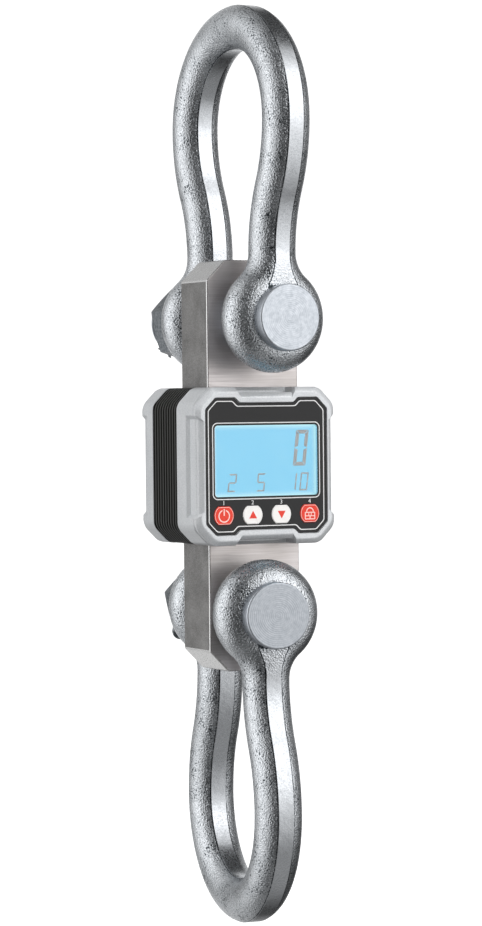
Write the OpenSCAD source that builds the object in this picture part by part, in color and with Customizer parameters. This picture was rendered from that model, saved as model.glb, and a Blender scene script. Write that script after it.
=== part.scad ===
// Digital crane scale. A steel load plate hangs from the upper bow shackle and carries the
// lower one, and a display housing is clamped round its middle. The display faces -Y.
// The origin is the hook's seat, under the upper bow's crown and in the middle of its rod.

/* [Load plate] */
// Distance between the two shackle pins
pin_spacing = 177; // [172:1:230]
// Width of the plate
plate_w = 62; // [60:1:66]
// Thickness of the plate
plate_t = 34.5; // [28:0.5:38]
// Distance from each pin to the plate's end
plate_end = 36; // [32:0.5:40]
// Width of the slanted corners
corner_w = 16; // [8:1:22]
// Height of the slanted corners
corner_h = 12.4; // [6:0.1:20]
// Play of a pin in its hole when the lower shackle stands askew
seat_play = 0.5; // [0.3:0.1:1.5]
// Diameter of the two strain gauge pockets
pocket_d = 34; // [24:1:40]
// Thickness of the web between the pockets
web_t = 9.5; // [6:0.5:14]

/* [Shackle bows] */
// Distance from a pin to the inside of the crown
bow_reach = 164.6; // [150:0.1:200]
// Inside width of the crown
crown_inside_w = 91; // [84:1:110]
// Diameter of the forged rod
rod_d = 29; // [24:0.2:30]
// How deep the rod is trimmed flat on its inner and outer side
trim = 1.05; // [0.4:0.05:2]
// Diameter of the ears
ear_d = 65.4; // [62:0.2:72]
// Fillet between an ear and the rod
neck_fillet = 18; // [12:1:26]
// Room between the plate and each ear when the shackle is centred
jaw_gap = 8.5; // [6:0.5:12]
// How far the upper shackle sits in front of the plate's middle plane
upper_shift = 2.5; // [0:0.5:5]
// How far the lower shackle stands askew, in degrees
lower_yaw = 7.6; // [0:0.1:8]

/* [Shackle bolts] */
// Diameter of the bolt's shank
bolt_d = 32; // [28:0.5:34]
// Running clearance round the shank in the ears
bolt_gap = 0.1; // [0.05:0.05:0.5]
// Diameter of the round head
head_d = 40; // [38:0.5:48]
// Height of the round head
head_h = 7.4; // [5:0.2:12]
// Nut size across its flats
nut_af = 45; // [42:0.5:52]
// Height of the nut
nut_h = 20; // [14:0.5:26]
// How far the nut is turned, in degrees
nut_turn = 16; // [0:1:59]
// Diameter of the split pin
cotter_d = 4.8; // [3.2:0.2:6.4]
// Tilt of the split pin from the vertical, in degrees
cotter_tilt = 34; // [0:1:90]

/* [Housing] */
// Width of the housing
housing_w = 95; // [93:0.5:110]
// Height of the housing
housing_h = 95; // [93:0.5:104]
// Width of the slanted housing corners
corner_cut = 10.5; // [7:0.5:12]
// Rounding beside the slanted corners
corner_round = 5; // [2:0.5:8]
// Thickness of the housing walls
wall = 3; // [2:0.1:3.4]
// Depth of the silver front bezel
bezel_depth = 26.6; // [24:0.2:30]
// Depth of the silver rear cover
cover_depth = 16; // [13:0.2:20]
// Depth of the corner guards at the bezel's front
guard_depth = 12.6; // [8:0.2:15]
// Depth of the recess between the guards on the left and right
side_recess = 1.8; // [0.8:0.1:2.4]
// Depth of the recess between the guards at the top and bottom
end_recess = 3.2; // [1:0.1:3.6]
// Length of the recess on the left and right
side_recess_l = 57; // [48:1:60]
// Length of the recess at the top and bottom
end_recess_l = 37; // [30:1:44]
// Rounding of the bezel's front edge
edge_round = 2.4; // [1:0.1:3]
// Pitch of the ribs on the black sleeve
rib_pitch = 3.3; // [2.6:0.1:4.5]
// Height of the ribs
rib_h = 1; // [0.4:0.1:1.4]
// Thickness of the gaskets between the shells
gasket_t = 0.8; // [0.5:0.1:1.5]
// Thickness of the rubber seals round the plate
seal_t = 2.5; // [1.5:0.1:3]
// Diameter of the four long housing screws
screw_d = 4; // [3:0.1:4.4]

/* [Display and keys] */
// Width of the black face panel
panel_w = 83.6; // [80:0.2:86]
// Height of the black face panel
panel_h = 83; // [80:0.2:84]
// Slanted corners of the face panel
panel_cut = 7; // [4:0.5:9]
// Depth of the notch in the panel's top and bottom edge
panel_notch = 3; // [1:0.1:3.2]
// Thickness of the face panel
panel_t = 0.8; // [0.5:0.1:1.2]
// How far the panel lies behind the bezel's rim
panel_sink = 0.8; // [0.3:0.1:1.5]
// Width of the display window
window_w = 70; // [60:0.5:72]
// Height of the display window
window_h = 42.6; // [36:0.2:44]
// Height of the window's centre above the housing's centre
window_rise = 3.2; // [2.6:0.1:5]
// Thickness of the bezel's front wall
face_wall = 2.2; // [1.6:0.1:3]
// Thickness of the window's flange
flange_t = 1.4; // [1:0.1:2]
// Thickness of the display glass
glass_t = 1.8; // [1.1:0.1:2.4]
// Thickness of the backlight
light_t = 3.4; // [2.5:0.1:4.5]
// Thickness of the circuit board
board_t = 1.6; // [1:0.1:2]
// Width of a key
key_w = 14.1; // [12:0.1:15]
// Height of a key
key_h = 11.8; // [10:0.1:12.4]
// Distance between keys
key_pitch = 19.6; // [17.6:0.1:20]
// How far the keys lie below the housing's centre
key_drop = 29.4; // [29:0.1:30]
// Travel of a key
key_travel = 0.8; // [0.4:0.1:1]
// Height of the buzzer behind the board
buzzer_h = 4; // [3:0.1:6]

/* [Batteries] */
// Diameter of a battery cell
cell_d = 14.5; // [10.5:0.5:15]
// Length of a battery cell
cell_l = 50.5; // [44.5:0.5:52]
// Thickness of the battery tray's walls
tray_t = 1.6; // [1:0.1:2]
// Room between the cells and the back wall
cell_room = 3.8; // [2:0.1:6]
// Thickness of the battery door
door_t = 1.6; // [1:0.1:1.8]

/* [Hidden] */
$fn = 64;

steel_color = "#bdb5b3";
forged_color = "#b9bdc2";
bolt_color = "#d2d6dc";
shell_color = "#c2c4c6";
black_color = "#1e1f1c";
panel_color = "#2b2b2c";
lcd_color = "#8cd4f5";
red_color = "#f0442c";
white_color = "#dcdcdc";
board_color = "#2f6b43";
brass_color = "#c9a24b";

// Small gaps: between faces that slide, between faces that rest, and past a face to cut it cleanly
slide_gap = 0.3;
rest_gap = 0.1;
cut = 1;

upper_pin_z = -bow_reach;
lower_pin_z = upper_pin_z - pin_spacing;
middle_z = (upper_pin_z + lower_pin_z) / 2;

// The holes are as loose as the askew pin needs, and each pin lies on the loaded side of its hole.
askew = plate_t / 2 * tan(lower_yaw);
hole_r = bolt_d / 2 + askew + seat_play;
upper_seat = hole_r - bolt_d / 2 - rest_gap;
lower_seat = sqrt(pow(askew + seat_play - 2 * rest_gap, 2) - pow(askew, 2));
plate_top = pin_spacing / 2 + plate_end;
cover_t = 1.5;
gauge_t = 0.4;
lead_r = 1.5;

rod_r = rod_d / 2;
flat_r = rod_r - trim;
ear_r = ear_d / 2;
crown_r = crown_inside_w / 2 + flat_r;
leg_y = plate_t / 2 + jaw_gap + rod_r;
crown_z = bow_reach - crown_inside_w / 2;
fillet_r = rod_r + neck_fillet;
neck_z = sqrt(pow(ear_r + neck_fillet, 2) - pow(fillet_r, 2));
neck_angle = atan2(neck_z, fillet_r);
// Two equal arcs lead each leg from the ear out to the crown.
bend_angle = 2 * atan2(crown_r - leg_y, crown_z - neck_z);
bend_r = (crown_z - neck_z) / (2 * sin(bend_angle));

// Steps round the rod's half, the ear, the fillet, one bend and a quarter of the crown
rim_steps = 8;
ear_steps = 10;
fillet_steps = 4;
bend_steps = 5;
crown_steps = 8;
ear_start = -85;

ear_out = leg_y + rod_r + slide_gap;
nut_end = ear_out + nut_h;
cotter_y = nut_end + cotter_d;
bolt_end = cotter_y + cotter_d + 1.5;
chamfer = 1;

front_y = -(plate_t / 2 + panel_sink + panel_t + face_wall + flange_t + glass_t + light_t
    + board_t + buzzer_h + 4 * slide_gap);
rear_y = plate_t / 2 + 2 * slide_gap + tray_t + cell_d + cell_room + wall;
bezel_back = front_y + bezel_depth;
sleeve_front = bezel_back + gasket_t;
cover_front = rear_y - cover_depth;
sleeve_back = cover_front - gasket_t;
guard_back = front_y + guard_depth;
recess_slope = 3;
// Depth behind the face and inset of the rounded rim, from a step past the face to the full outline
rim = [[-0.35, 1.35] * edge_round, [0.35, 0.25] * edge_round, [1, 0] * edge_round];
arc_steps = 4;
cavity_x = housing_w / 2 - wall - side_recess;
cavity_z = housing_h / 2 - wall - end_recess;
screw_head_r = screw_d / 2 + 1.4;
boss_r = screw_head_r + 1.2;
boss_bite = 0.8;
screw_x = cavity_x - boss_r + boss_bite;
screw_z = cavity_z - boss_r + boss_bite;
screw_head_h = 2.6;
screw_sink = rear_y - 2 * screw_head_h;
screw_tip = bezel_back - 12;
seal_x = plate_w / 2 + seal_t;
seal_y = plate_t / 2 + seal_t;
seal_h = wall + 0.8;

sink_y = front_y + panel_sink + panel_t;
inner_y = sink_y + face_wall;
flange_edge = 2;
glass_y = inner_y + flange_t + rest_gap;
light_y = glass_y + glass_t;
board_y = light_y + light_t + rest_gap;
board_back = board_y + board_t;
board_x = housing_w / 2 - wall - side_recess - 3.6;
board_top = screw_z - boss_r - 1;
board_tongue = seal_x - 2.5;
board_bottom = cavity_z - 0.6;
post_r = 1.8;
post_x = key_pitch;
post_low = board_bottom - post_r - 0.2;
post_high = board_top - post_r - 0.6;
post_hole_r = 0.9;
key_xs = [for (i = [-1.5 : 1 : 1.5]) i * key_pitch];
key_face = front_y + panel_sink - 0.4;
key_flange_t = 1;
key_flange_edge = 0.7;
switch_w = 6;
stem_r = 2;
stem_y = board_y - 4.2 - key_travel - rest_gap;

tray_y = plate_t / 2 + slide_gap;
tray_back = rear_y - wall;
cell_pitch = cell_d + 0.8;
contact_t = 0.5;
tray_in_x = cell_l / 2 + contact_t + 2 * rest_gap;
tray_in_z = 1.5 * cell_pitch;
door_hole_x = tray_in_x - 1;
door_hole_z = tray_in_z;
door_x = door_hole_x + 9;
door_z = door_hole_z + 3;
cell_y = tray_y + tray_t + cell_d / 2 + rest_gap;
lead_x = plate_w / 2 + 5.5;
lead_bend = 4;

// Vector helpers for outlines that run anticlockwise
function unit(v) = v / norm(v);
function outward(a, b) = let (d = unit(b - a)) [d[1], -d[0]];
function prev(p, i) = p[(i + len(p) - 1) % len(p)];
function next(p, i) = p[(i + 1) % len(p)];

// Moves every edge of an outline inwards by d.
function inset(p, d) = [
    for (i = [0 : len(p) - 1])
        let (n = outward(prev(p, i), p[i]), m = outward(p[i], next(p, i)))
            p[i] - d * (n + m) / (1 + n * m)
];

// Rounds the corners of an outline, each with its own radius.
function rounded(p, radii) = [
    for (i = [0 : len(p) - 1])
        let (
            a = unit(prev(p, i) - p[i]),
            b = unit(next(p, i) - p[i]),
            half = acos(a * b) / 2,
            r = radii[i],
            centre = p[i] + unit(a + b) * r / sin(half),
            from = p[i] + a * r / tan(half) - centre,
            to = p[i] + b * r / tan(half) - centre,
            start = atan2(from[1], from[0]),
            turn = atan2(from[0] * to[1] - from[1] * to[0], from * to)
        )
            for (k = [0 : r > 0 ? arc_steps : 0])
                r > 0
                    ? centre + r * [cos(start + turn * k / arc_steps), sin(start + turn * k / arc_steps)]
                    : p[i]
];

function mirror_x(p) = [for (i = [len(p) - 1 : -1 : 0]) [-p[i][0], p[i][1]]];
function mirror_z(p) = [for (i = [len(p) - 1 : -1 : 0]) [p[i][0], -p[i][1]]];

// A rectangle with rounded corners, centred on the origin
function round_box(w, h, r) = rounded(
    [[w / 2, -h / 2], [w / 2, h / 2], [-w / 2, h / 2], [-w / 2, -h / 2]], [r, r, r, r]);

// A rectangle with slanted corners and a notch of depth ex and ez in each side
function cut_box(w, h, c, r, ex, ez) =
    let (
        x = w / 2,
        z = h / 2,
        lx = end_recess_l / 2,
        lz = side_recess_l / 2,
        quarter = concat(
            ex > 0 ? [[x - ex, lz], [x, lz + recess_slope]] : [],
            [[x, z - c], [x - c, z]],
            ez > 0 ? [[lx + recess_slope, z], [lx, z - ez]] : []),
        radii = concat(ex > 0 ? [0, 0] : [], [r, r], ez > 0 ? [0, 0] : []),
        upper = concat(rounded_part(quarter, radii), mirror_x(rounded_part(quarter, radii)))
    )
        concat(upper, [for (p = upper) -p]);

// Rounds an open run of corners: its two ends need neighbours only where they are rounded.
function rounded_part(p, radii) =
    let (
        n = len(p),
        closed = concat([[p[0][0], -p[0][1]]], p, [[-p[n - 1][0], p[n - 1][1]]]),
        all = concat([0], radii, [0]),
        done = rounded(closed, all)
    )
        [for (i = [1 : len(done) - 2]) done[i]];

// Extrudes an outline in X and Z from y0 back to y1.
module along_y(y0, y1) {
    translate([0, y1, 0]) rotate([90, 0, 0]) linear_extrude(y1 - y0) children();
}

module rod_y(x, z, y0, y1, r) {
    translate([x, y1, z]) rotate([90, 0, 0]) cylinder(h = y1 - y0, r = r);
}

// Closed skin over rings of equal length, with a flat cap on both ends
module skin(rings) {
    n = len(rings[0]);
    last = len(rings) - 1;
    sides = [
        for (i = [0 : last - 1], j = [0 : n - 1], half = [0, 1])
            let (a = i * n + j, b = i * n + (j + 1) % n, c = a + n, d = b + n)
                half == 0 ? [a, b, d] : [a, d, c]
    ];
    caps = [[for (j = [n - 1 : -1 : 0]) j], [for (j = [0 : n - 1]) last * n + j]];
    polyhedron([for (ring = rings, p = ring) p], concat(sides, caps), convexity = 6);
}

// Lofts outlines at given depths, listed from the front to the back as [y, outline].
module loft_y(levels) {
    skin([for (l = levels) [for (p = l[1]) [p[0], l[0], p[1]]]]);
}

module at_upper_pin() {
    translate([0, 0, upper_pin_z]) children();
}

module at_lower_pin() {
    translate([0, upper_shift, lower_pin_z])
        rotate([0, 0, -lower_yaw])
            rotate([0, 180, 0]) children();
}

module at_housing() {
    translate([0, upper_shift, middle_z]) children();
}

module at_screws() {
    for (x = [-screw_x, screw_x], z = [-screw_z, screw_z]) translate([x, 0, z]) children();
}

// One ring round the forging. The centre line passes (y, z) at the given lean, side is the half
// width of the flat core, slant the angle of the outline there, and level the half height of the
// trimmed flats.
function forged_ring(y, z, lean, side, slant, level) =
    let (
        top = asin(level / rod_r),
        half = [
            for (k = [0 : rim_steps])
                let (
                    a = top - 2 * top * k / rim_steps,
                    out = rod_r * cos(a),
                    up = rod_r * sin(a),
                    x = side + out * cos(slant),
                    along = out * sin(slant)
                )
                    [x, y + along * sin(lean) - up * cos(lean), z + along * cos(lean) + up * sin(lean)]
        ]
    )
        concat(half, [for (k = [rim_steps : -1 : 0]) [-half[k][0], half[k][1], half[k][2]]]);

ear_core = ear_r - rod_r;
front_rings = concat(
    [
        for (k = [0 : ear_steps - 1])
            let (a = ear_start + (neck_angle - ear_start) * k / ear_steps)
                forged_ring(-leg_y, ear_core * sin(a), 0, ear_core * cos(a), a, rod_r)
    ],
    [
        for (k = [0 : fillet_steps - 1])
            let (a = neck_angle * (1 - k / fillet_steps))
                forged_ring(-leg_y, neck_z - fillet_r * sin(a), 0, fillet_r * (1 - cos(a)), a,
                    rod_r - trim * k / fillet_steps)
    ],
    [
        for (k = [0 : bend_steps - 1])
            let (a = bend_angle * k / bend_steps)
                forged_ring(-leg_y - bend_r * (1 - cos(a)), neck_z + bend_r * sin(a), -a, 0, 0, flat_r)
    ],
    [
        for (k = [0 : bend_steps - 1])
            let (a = bend_angle * (1 - k / bend_steps))
                forged_ring(-crown_r + bend_r * (1 - cos(a)), crown_z - bend_r * sin(a), -a, 0, 0, flat_r)
    ],
    [
        for (k = [0 : crown_steps])
            let (a = 90 * k / crown_steps)
                forged_ring(-crown_r * cos(a), crown_z + crown_r * sin(a), a, 0, 0, flat_r)
    ]
);

// The forging is symmetric, so the rear leg repeats the front one.
bow_rings = concat(
    front_rings,
    [
        for (k = [len(front_rings) - 2 : -1 : 0])
            [for (p = front_rings[k]) [p[0], -p[1], p[2]]]
    ]
);

// The bow about its pin: ears, necks, legs and crown in one skin, bored for the bolt
module bow() {
    n = len(bow_rings[0]);
    last = (len(bow_rings) - 1) * n;
    sides = [
        for (i = [0 : len(bow_rings) - 2], j = [0 : n - 1], half = [0, 1])
            let (a = i * n + j, b = i * n + (j + 1) % n, c = a + n, d = b + n)
                half == 0 ? [a, d, b] : [a, c, d]
    ];
    // Each ear closes below with strips from its right rim to its left one.
    ends = [
        for (j = [0 : rim_steps - 1], half = [0, 1])
            let (a = j, b = j + 1, c = n - 2 - j, d = n - 1 - j)
                half == 0 ? [a, b, c] : [a, c, d]
    ];
    color(forged_color)
        difference() {
            polyhedron(
                [for (ring = bow_rings, p = ring) p],
                concat(sides, ends, [for (f = ends) [last + f[2], last + f[1], last + f[0]]]),
                convexity = 6);
            rod_y(0, 0, -ear_out - cut, ear_out + cut, bolt_d / 2 + bolt_gap);
        }
}

// Round-headed bolt, along Y with its head in front, drilled for the split pin
module bolt() {
    r = bolt_d / 2;
    color(bolt_color)
        difference() {
            rotate([-90, 0, 0])
                rotate_extrude()
                    polygon([
                        [0, -ear_out - head_h],
                        [head_d / 2 - chamfer, -ear_out - head_h],
                        [head_d / 2, -ear_out - head_h + chamfer],
                        [head_d / 2, -ear_out],
                        [r, -ear_out],
                        [r, bolt_end - 2 * chamfer],
                        [r - 2 * chamfer, bolt_end],
                        [0, bolt_end],
                    ]);
            translate([0, cotter_y, 0])
                rotate([0, cotter_tilt, 0])
                    cylinder(h = bolt_d + 2 * cut, d = cotter_d + 2 * slide_gap, center = true);
        }
}

// Hexagon nut with both faces chamfered round
module nut() {
    corner_r = nut_af / 2 / cos(30);
    face_r = nut_af / 2 - 0.5;
    edge_r = corner_r + 1;
    slope = (edge_r - face_r) * tan(30);
    color(forged_color)
        difference() {
            intersection() {
                rotate([0, nut_turn, 0])
                    along_y(ear_out, nut_end) circle(r = corner_r, $fn = 6);
                rotate([-90, 0, 0])
                    rotate_extrude()
                        polygon([
                            [0, ear_out],
                            [face_r, ear_out],
                            [edge_r, ear_out + slope],
                            [edge_r, nut_end - slope],
                            [face_r, nut_end],
                            [0, nut_end],
                        ]);
            }
            rod_y(0, 0, ear_out - cut, nut_end + cut, bolt_d / 2 + rest_gap);
        }
}

// Split pin through the bolt, with its eye above and two spread ends below
module cotter() {
    reach = bolt_d / 2 + 2;
    eye_r = cotter_d * 0.85;
    leg_r = cotter_d / 4;
    color(forged_color)
        translate([0, cotter_y, 0])
            rotate([0, cotter_tilt, 0]) {
                translate([0, 0, -reach]) cylinder(h = 2 * reach, d = cotter_d);
                translate([0, 0, reach + eye_r])
                    rotate([90, 0, 0])
                        rotate_extrude() translate([eye_r, 0]) circle(r = leg_r * 1.2);
                for (side = [-1, 1])
                    translate([side * leg_r, 0, -reach]) {
                        sphere(r = leg_r);
                        rotate([0, 180 - side * 55, 0]) cylinder(h = bolt_d / 4, r = leg_r);
                    }
            }
}

module upper_bow() {
    at_upper_pin() bow();
}

module upper_bolt() {
    at_upper_pin() bolt();
}

module upper_nut() {
    at_upper_pin() nut();
}

module upper_cotter() {
    at_upper_pin() cotter();
}

module lower_bow() {
    at_lower_pin() bow();
}

module lower_bolt() {
    at_lower_pin() bolt();
}

module lower_nut() {
    at_lower_pin() nut();
}

module lower_cotter() {
    at_lower_pin() cotter();
}

// The load cell body: slanted ends, two pin holes and a gauge pocket in both faces
module load_plate() {
    x = plate_w / 2;
    quarter = [[x, plate_top - corner_h], [x - corner_w, plate_top]];
    upper = concat(quarter, mirror_x(quarter));
    color(steel_color)
        at_housing()
            difference() {
                along_y(-plate_t / 2, plate_t / 2) polygon(concat(upper, [for (p = upper) -p]));
                rod_y(0, pin_spacing / 2 - upper_seat, -plate_t, plate_t, hole_r);
                rod_y(0, lower_seat - pin_spacing / 2, -plate_t, plate_t, hole_r);
                rod_y(0, 0, -plate_t, -web_t / 2, pocket_d / 2);
                rod_y(0, 0, web_t / 2, plate_t, pocket_d / 2);
            }
}

// Two gauges on each side of the web, at 45 degrees to the load
module strain_gauges() {
    color(brass_color)
        at_housing()
            for (side = [-1, 1], turn = [-1, 1])
                translate([turn * pocket_d / 6, side * (web_t + gauge_t) / 2, 0])
                    rotate([0, turn * 45, 0])
                        cube([5, gauge_t, 8], center = true);
}

// A disc in the mouth of each gauge pocket, the front one drilled for the lead
module gauge_covers() {
    r = pocket_d / 2 - rest_gap;
    color(steel_color)
        at_housing() {
            difference() {
                rod_y(0, 0, -plate_t / 2, cover_t - plate_t / 2, r);
                rod_y(0, 0, -plate_t, 0, lead_r + rest_gap);
            }
            rod_y(0, 0, plate_t / 2 - cover_t, plate_t / 2, r);
        }
}

// The gauges' cable, from the pocket through its cover to the back of the board
module gauge_lead() {
    color(black_color)
        at_housing()
            rod_y(0, 0, board_back, -web_t / 2 - gauge_t, lead_r);
}

// Opening for the plate through a shell's top and bottom wall
module plate_passage(y0, y1) {
    for (side = [-1, 1])
        translate([-seal_x, y0, side > 0 ? housing_h / 2 - 2 * seal_h : -housing_h / 2 - cut])
            cube([2 * seal_x, y1 - y0, 2 * seal_h + cut]);
}

function shell_outline() = cut_box(housing_w, housing_h, corner_cut, corner_round, 0, 0);
function guard_outline() =
    cut_box(housing_w, housing_h, corner_cut, corner_round, side_recess, end_recess);
function panel_outline() = cut_box(panel_w, panel_h, panel_cut, 1, 0, panel_notch);
function cavity_outline() = cut_box(2 * cavity_x, 2 * cavity_z, corner_cut, corner_round, 0, 0);

module board_posts() {
    for (x = [-post_x, post_x], z = [-post_low, post_high]) translate([x, 0, z]) children();
}

module key_profile(edge) {
    intersection() {
        circle(d = key_w + 2 * edge);
        square([2 * key_w, key_h + 2 * edge], center = true);
    }
}

// Front shell: corner guards, sunk face, window, key holes, screw bosses and board posts
module front_bezel() {
    color(shell_color)
        at_housing()
            difference() {
                union() {
                    difference() {
                        union() {
                            along_y(guard_back, bezel_back) polygon(shell_outline());
                            loft_y(concat(
                                [for (r = rim) [front_y + r[0], inset(guard_outline(), r[1])]],
                                [[guard_back + cut, guard_outline()]]));
                        }
                        along_y(inner_y, bezel_back + cut) polygon(cavity_outline());
                    }
                    at_screws() rod_y(0, 0, inner_y - cut, bezel_back, boss_r);
                    board_posts() rod_y(0, 0, inner_y - cut, board_y, post_r);
                }
                along_y(front_y - edge_round, front_y) square(2 * housing_w, center = true);
                along_y(front_y - cut, sink_y) polygon(panel_outline());
                translate([0, 0, window_rise])
                    along_y(sink_y - cut / 2, inner_y + cut)
                        polygon(round_box(window_w + 2 * rest_gap, window_h + 2 * rest_gap, 2));
                for (x = key_xs)
                    translate([x, 0, -key_drop])
                        along_y(sink_y - cut / 2, inner_y + cut) key_profile(rest_gap);
                at_screws() rod_y(0, 0, screw_tip - cut, bezel_back + cut, screw_d / 2 + rest_gap);
                board_posts() rod_y(0, 0, inner_y + 1, board_y + cut, post_hole_r + rest_gap);
                plate_passage(-seal_y, bezel_back + cut);
            }
}

// Black panel that fills the sunk face, open at the window and the keys
module face_panel() {
    color(panel_color)
        at_housing()
            difference() {
                along_y(sink_y - panel_t, sink_y) polygon(inset(panel_outline(), rest_gap));
                translate([0, 0, window_rise])
                    along_y(front_y, inner_y)
                        polygon(round_box(window_w + 2 * rest_gap, window_h + 2 * rest_gap, 2));
                for (x = key_xs)
                    translate([x, 0, -key_drop]) along_y(front_y, inner_y) key_profile(rest_gap);
            }
}

// Clear pane: a plug through the panel and the wall, held by a flange from behind
module lcd_window() {
    color(lcd_color, 0.5)
        at_housing()
            translate([0, 0, window_rise]) {
                along_y(sink_y - panel_t, inner_y) polygon(round_box(window_w, window_h, 1.9));
                along_y(inner_y, inner_y + flange_t)
                    polygon(round_box(window_w + 2 * flange_edge, window_h + 2 * flange_edge, 2));
            }
}

module lcd_glass() {
    color(lcd_color)
        at_housing()
            translate([0, 0, window_rise])
                along_y(glass_y, light_y)
                    square([window_w + 2 * flange_edge, window_h + 2 * flange_edge], center = true);
}

module lcd_backlight() {
    color(white_color)
        at_housing()
            translate([0, 0, window_rise])
                along_y(light_y, board_y)
                    square([window_w + flange_edge, window_h + flange_edge], center = true);
}

// One key: cap, retaining flange and stem
module key(index, tint) {
    color(tint)
        at_housing()
            translate([key_xs[index], 0, -key_drop]) {
                along_y(key_face, inner_y + rest_gap) key_profile(0);
                along_y(inner_y + rest_gap, inner_y + rest_gap + key_flange_t)
                    key_profile(key_flange_edge);
                rod_y(0, 0, inner_y + key_flange_t, stem_y, stem_r);
            }
}

module key_power() {
    key(0, red_color);
}

module key_up() {
    key(1, white_color);
}

module key_down() {
    key(2, white_color);
}

module key_lock() {
    key(3, red_color);
}

// A push switch on the board behind each key
module key_switches() {
    color(black_color)
        at_housing()
            for (x = key_xs)
                translate([x, 0, -key_drop]) {
                    along_y(board_y - 3.4, board_y) square(switch_w, center = true);
                    rod_y(0, 0, board_y - 4.2, board_y, 1.7);
                }
}

// Board with a narrower tongue behind the keys, drilled for its four screws
module main_board() {
    color(board_color)
        at_housing()
            difference() {
                along_y(board_y, board_back)
                    polygon([
                        [-board_tongue, -board_bottom],
                        [board_tongue, -board_bottom],
                        [board_tongue, -board_top],
                        [board_x, -board_top],
                        [board_x, board_top],
                        [-board_x, board_top],
                        [-board_x, -board_top],
                        [-board_tongue, -board_top],
                    ]);
                board_posts() rod_y(0, 0, board_y - cut, board_back + cut, post_hole_r + rest_gap);
            }
}

module board_screws() {
    color(forged_color)
        at_housing()
            board_posts() {
                rod_y(0, 0, inner_y + 2, board_back, post_hole_r);
                rod_y(0, 0, board_back, board_back + 1.2, post_r);
            }
}

module buzzer() {
    color(black_color)
        at_housing()
            difference() {
                rod_y(plate_w / 4, plate_w / 4, board_back, board_back + buzzer_h, 6);
                rod_y(plate_w / 4, plate_w / 4, board_back + buzzer_h - 1, board_back + buzzer_h + 1, 1);
            }
}

// Black middle shell: ribs all round, a tube for each long screw, open for the plate
module ribbed_sleeve() {
    depth = sleeve_back - sleeve_front;
    ribs = floor((depth - rib_pitch * 0.4) / rib_pitch) + 1;
    first = sleeve_front + (depth - (ribs - 1) * rib_pitch) / 2;
    crest = rib_pitch * 0.55;
    color(black_color)
        at_housing()
            difference() {
                union() {
                    difference() {
                        union() {
                            along_y(sleeve_front, sleeve_back) polygon(inset(shell_outline(), rib_h + 0.2));
                            for (i = [0 : ribs - 1])
                                along_y(first + i * rib_pitch - crest / 2, first + i * rib_pitch + crest / 2)
                                    polygon(inset(shell_outline(), 0.2));
                        }
                        along_y(sleeve_front - cut, sleeve_back + cut) polygon(inset(shell_outline(), wall));
                    }
                    at_screws() rod_y(0, 0, sleeve_front, sleeve_back, boss_r);
                }
                at_screws() rod_y(0, 0, sleeve_front - cut, sleeve_back + cut, screw_d / 2 + rest_gap);
                plate_passage(sleeve_front - cut, seal_y);
            }
}

module gasket(y0, y1) {
    color(black_color)
        difference() {
            along_y(y0, y1) polygon(inset(shell_outline(), 0.4));
            along_y(y0 - cut, y1 + cut) polygon(inset(shell_outline(), wall - 0.4));
        }
}

// The front gasket stops at the plate's openings, so it lies in two halves.
module front_gasket() {
    at_housing()
        difference() {
            gasket(bezel_back, sleeve_front);
            plate_passage(bezel_back - cut, sleeve_front + cut);
        }
}

module rear_gasket() {
    at_housing() gasket(sleeve_back, cover_front);
}

// Rubber frame that closes the housing on the plate
module plate_seal() {
    color(black_color)
        difference() {
            translate([-seal_x, -seal_y, housing_h / 2 - seal_h])
                cube([2 * seal_x, 2 * seal_y, seal_h - 0.4]);
            translate([-plate_w / 2, -plate_t / 2, housing_h / 2 - seal_h - cut])
                cube([plate_w, plate_t, seal_h + 2 * cut]);
        }
}

module upper_plate_seal() {
    at_housing() plate_seal();
}

module lower_plate_seal() {
    at_housing() mirror([0, 0, 1]) plate_seal();
}

// Rear shell with the same corner guards, a sunk opening for the battery door and screw recesses
module rear_cover() {
    color(shell_color)
        at_housing()
            difference() {
                union() {
                    difference() {
                        union() {
                            along_y(cover_front, cover_front + cover_depth / 2) polygon(shell_outline());
                            loft_y(concat(
                                [[cover_front + cover_depth / 2 - cut, guard_outline()]],
                                [for (i = [2 : -1 : 0]) [rear_y - rim[i][0], inset(guard_outline(), rim[i][1])]]));
                        }
                        along_y(cover_front - cut, rear_y - wall) polygon(cavity_outline());
                    }
                    at_screws() rod_y(0, 0, cover_front, rear_y - wall + cut, boss_r);
                    door_screw_places() rod_y(0, 0, tray_back - 4, tray_back + cut / 2, 2.4);
                }
                along_y(rear_y, rear_y + edge_round) square(2 * housing_w, center = true);
                along_y(rear_y - door_t - rest_gap, rear_y + cut)
                    polygon(round_box(2 * (door_x + rest_gap), 2 * (door_z + rest_gap), 3));
                along_y(tray_back - cut, rear_y)
                    polygon(round_box(2 * door_hole_x, 2 * door_hole_z, 2));
                door_screw_places() rod_y(0, 0, tray_back - 5, rear_y, 1.25 + rest_gap);
                at_screws() {
                    rod_y(0, 0, cover_front - cut, rear_y, screw_d / 2 + rest_gap);
                    rod_y(0, 0, screw_sink, rear_y + cut, screw_head_r + 2 * rest_gap);
                }
            }
}

// Long screws from recesses in the rear cover, through the sleeve, into the bezel's bosses
module housing_screws() {
    color(forged_color)
        at_housing()
            at_screws()
                difference() {
                    union() {
                        rod_y(0, 0, screw_tip, screw_sink, screw_d / 2);
                        rod_y(0, 0, screw_sink, screw_sink + screw_head_h, screw_head_r);
                    }
                    rod_y(0, 0, screw_sink + screw_head_h / 2, rear_y, screw_d / 4, $fn = 6);
                }
}

module door_screw_places() {
    for (x = [-1, 1]) translate([x * (door_x - 3.2), 0, 0]) children();
}

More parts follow.
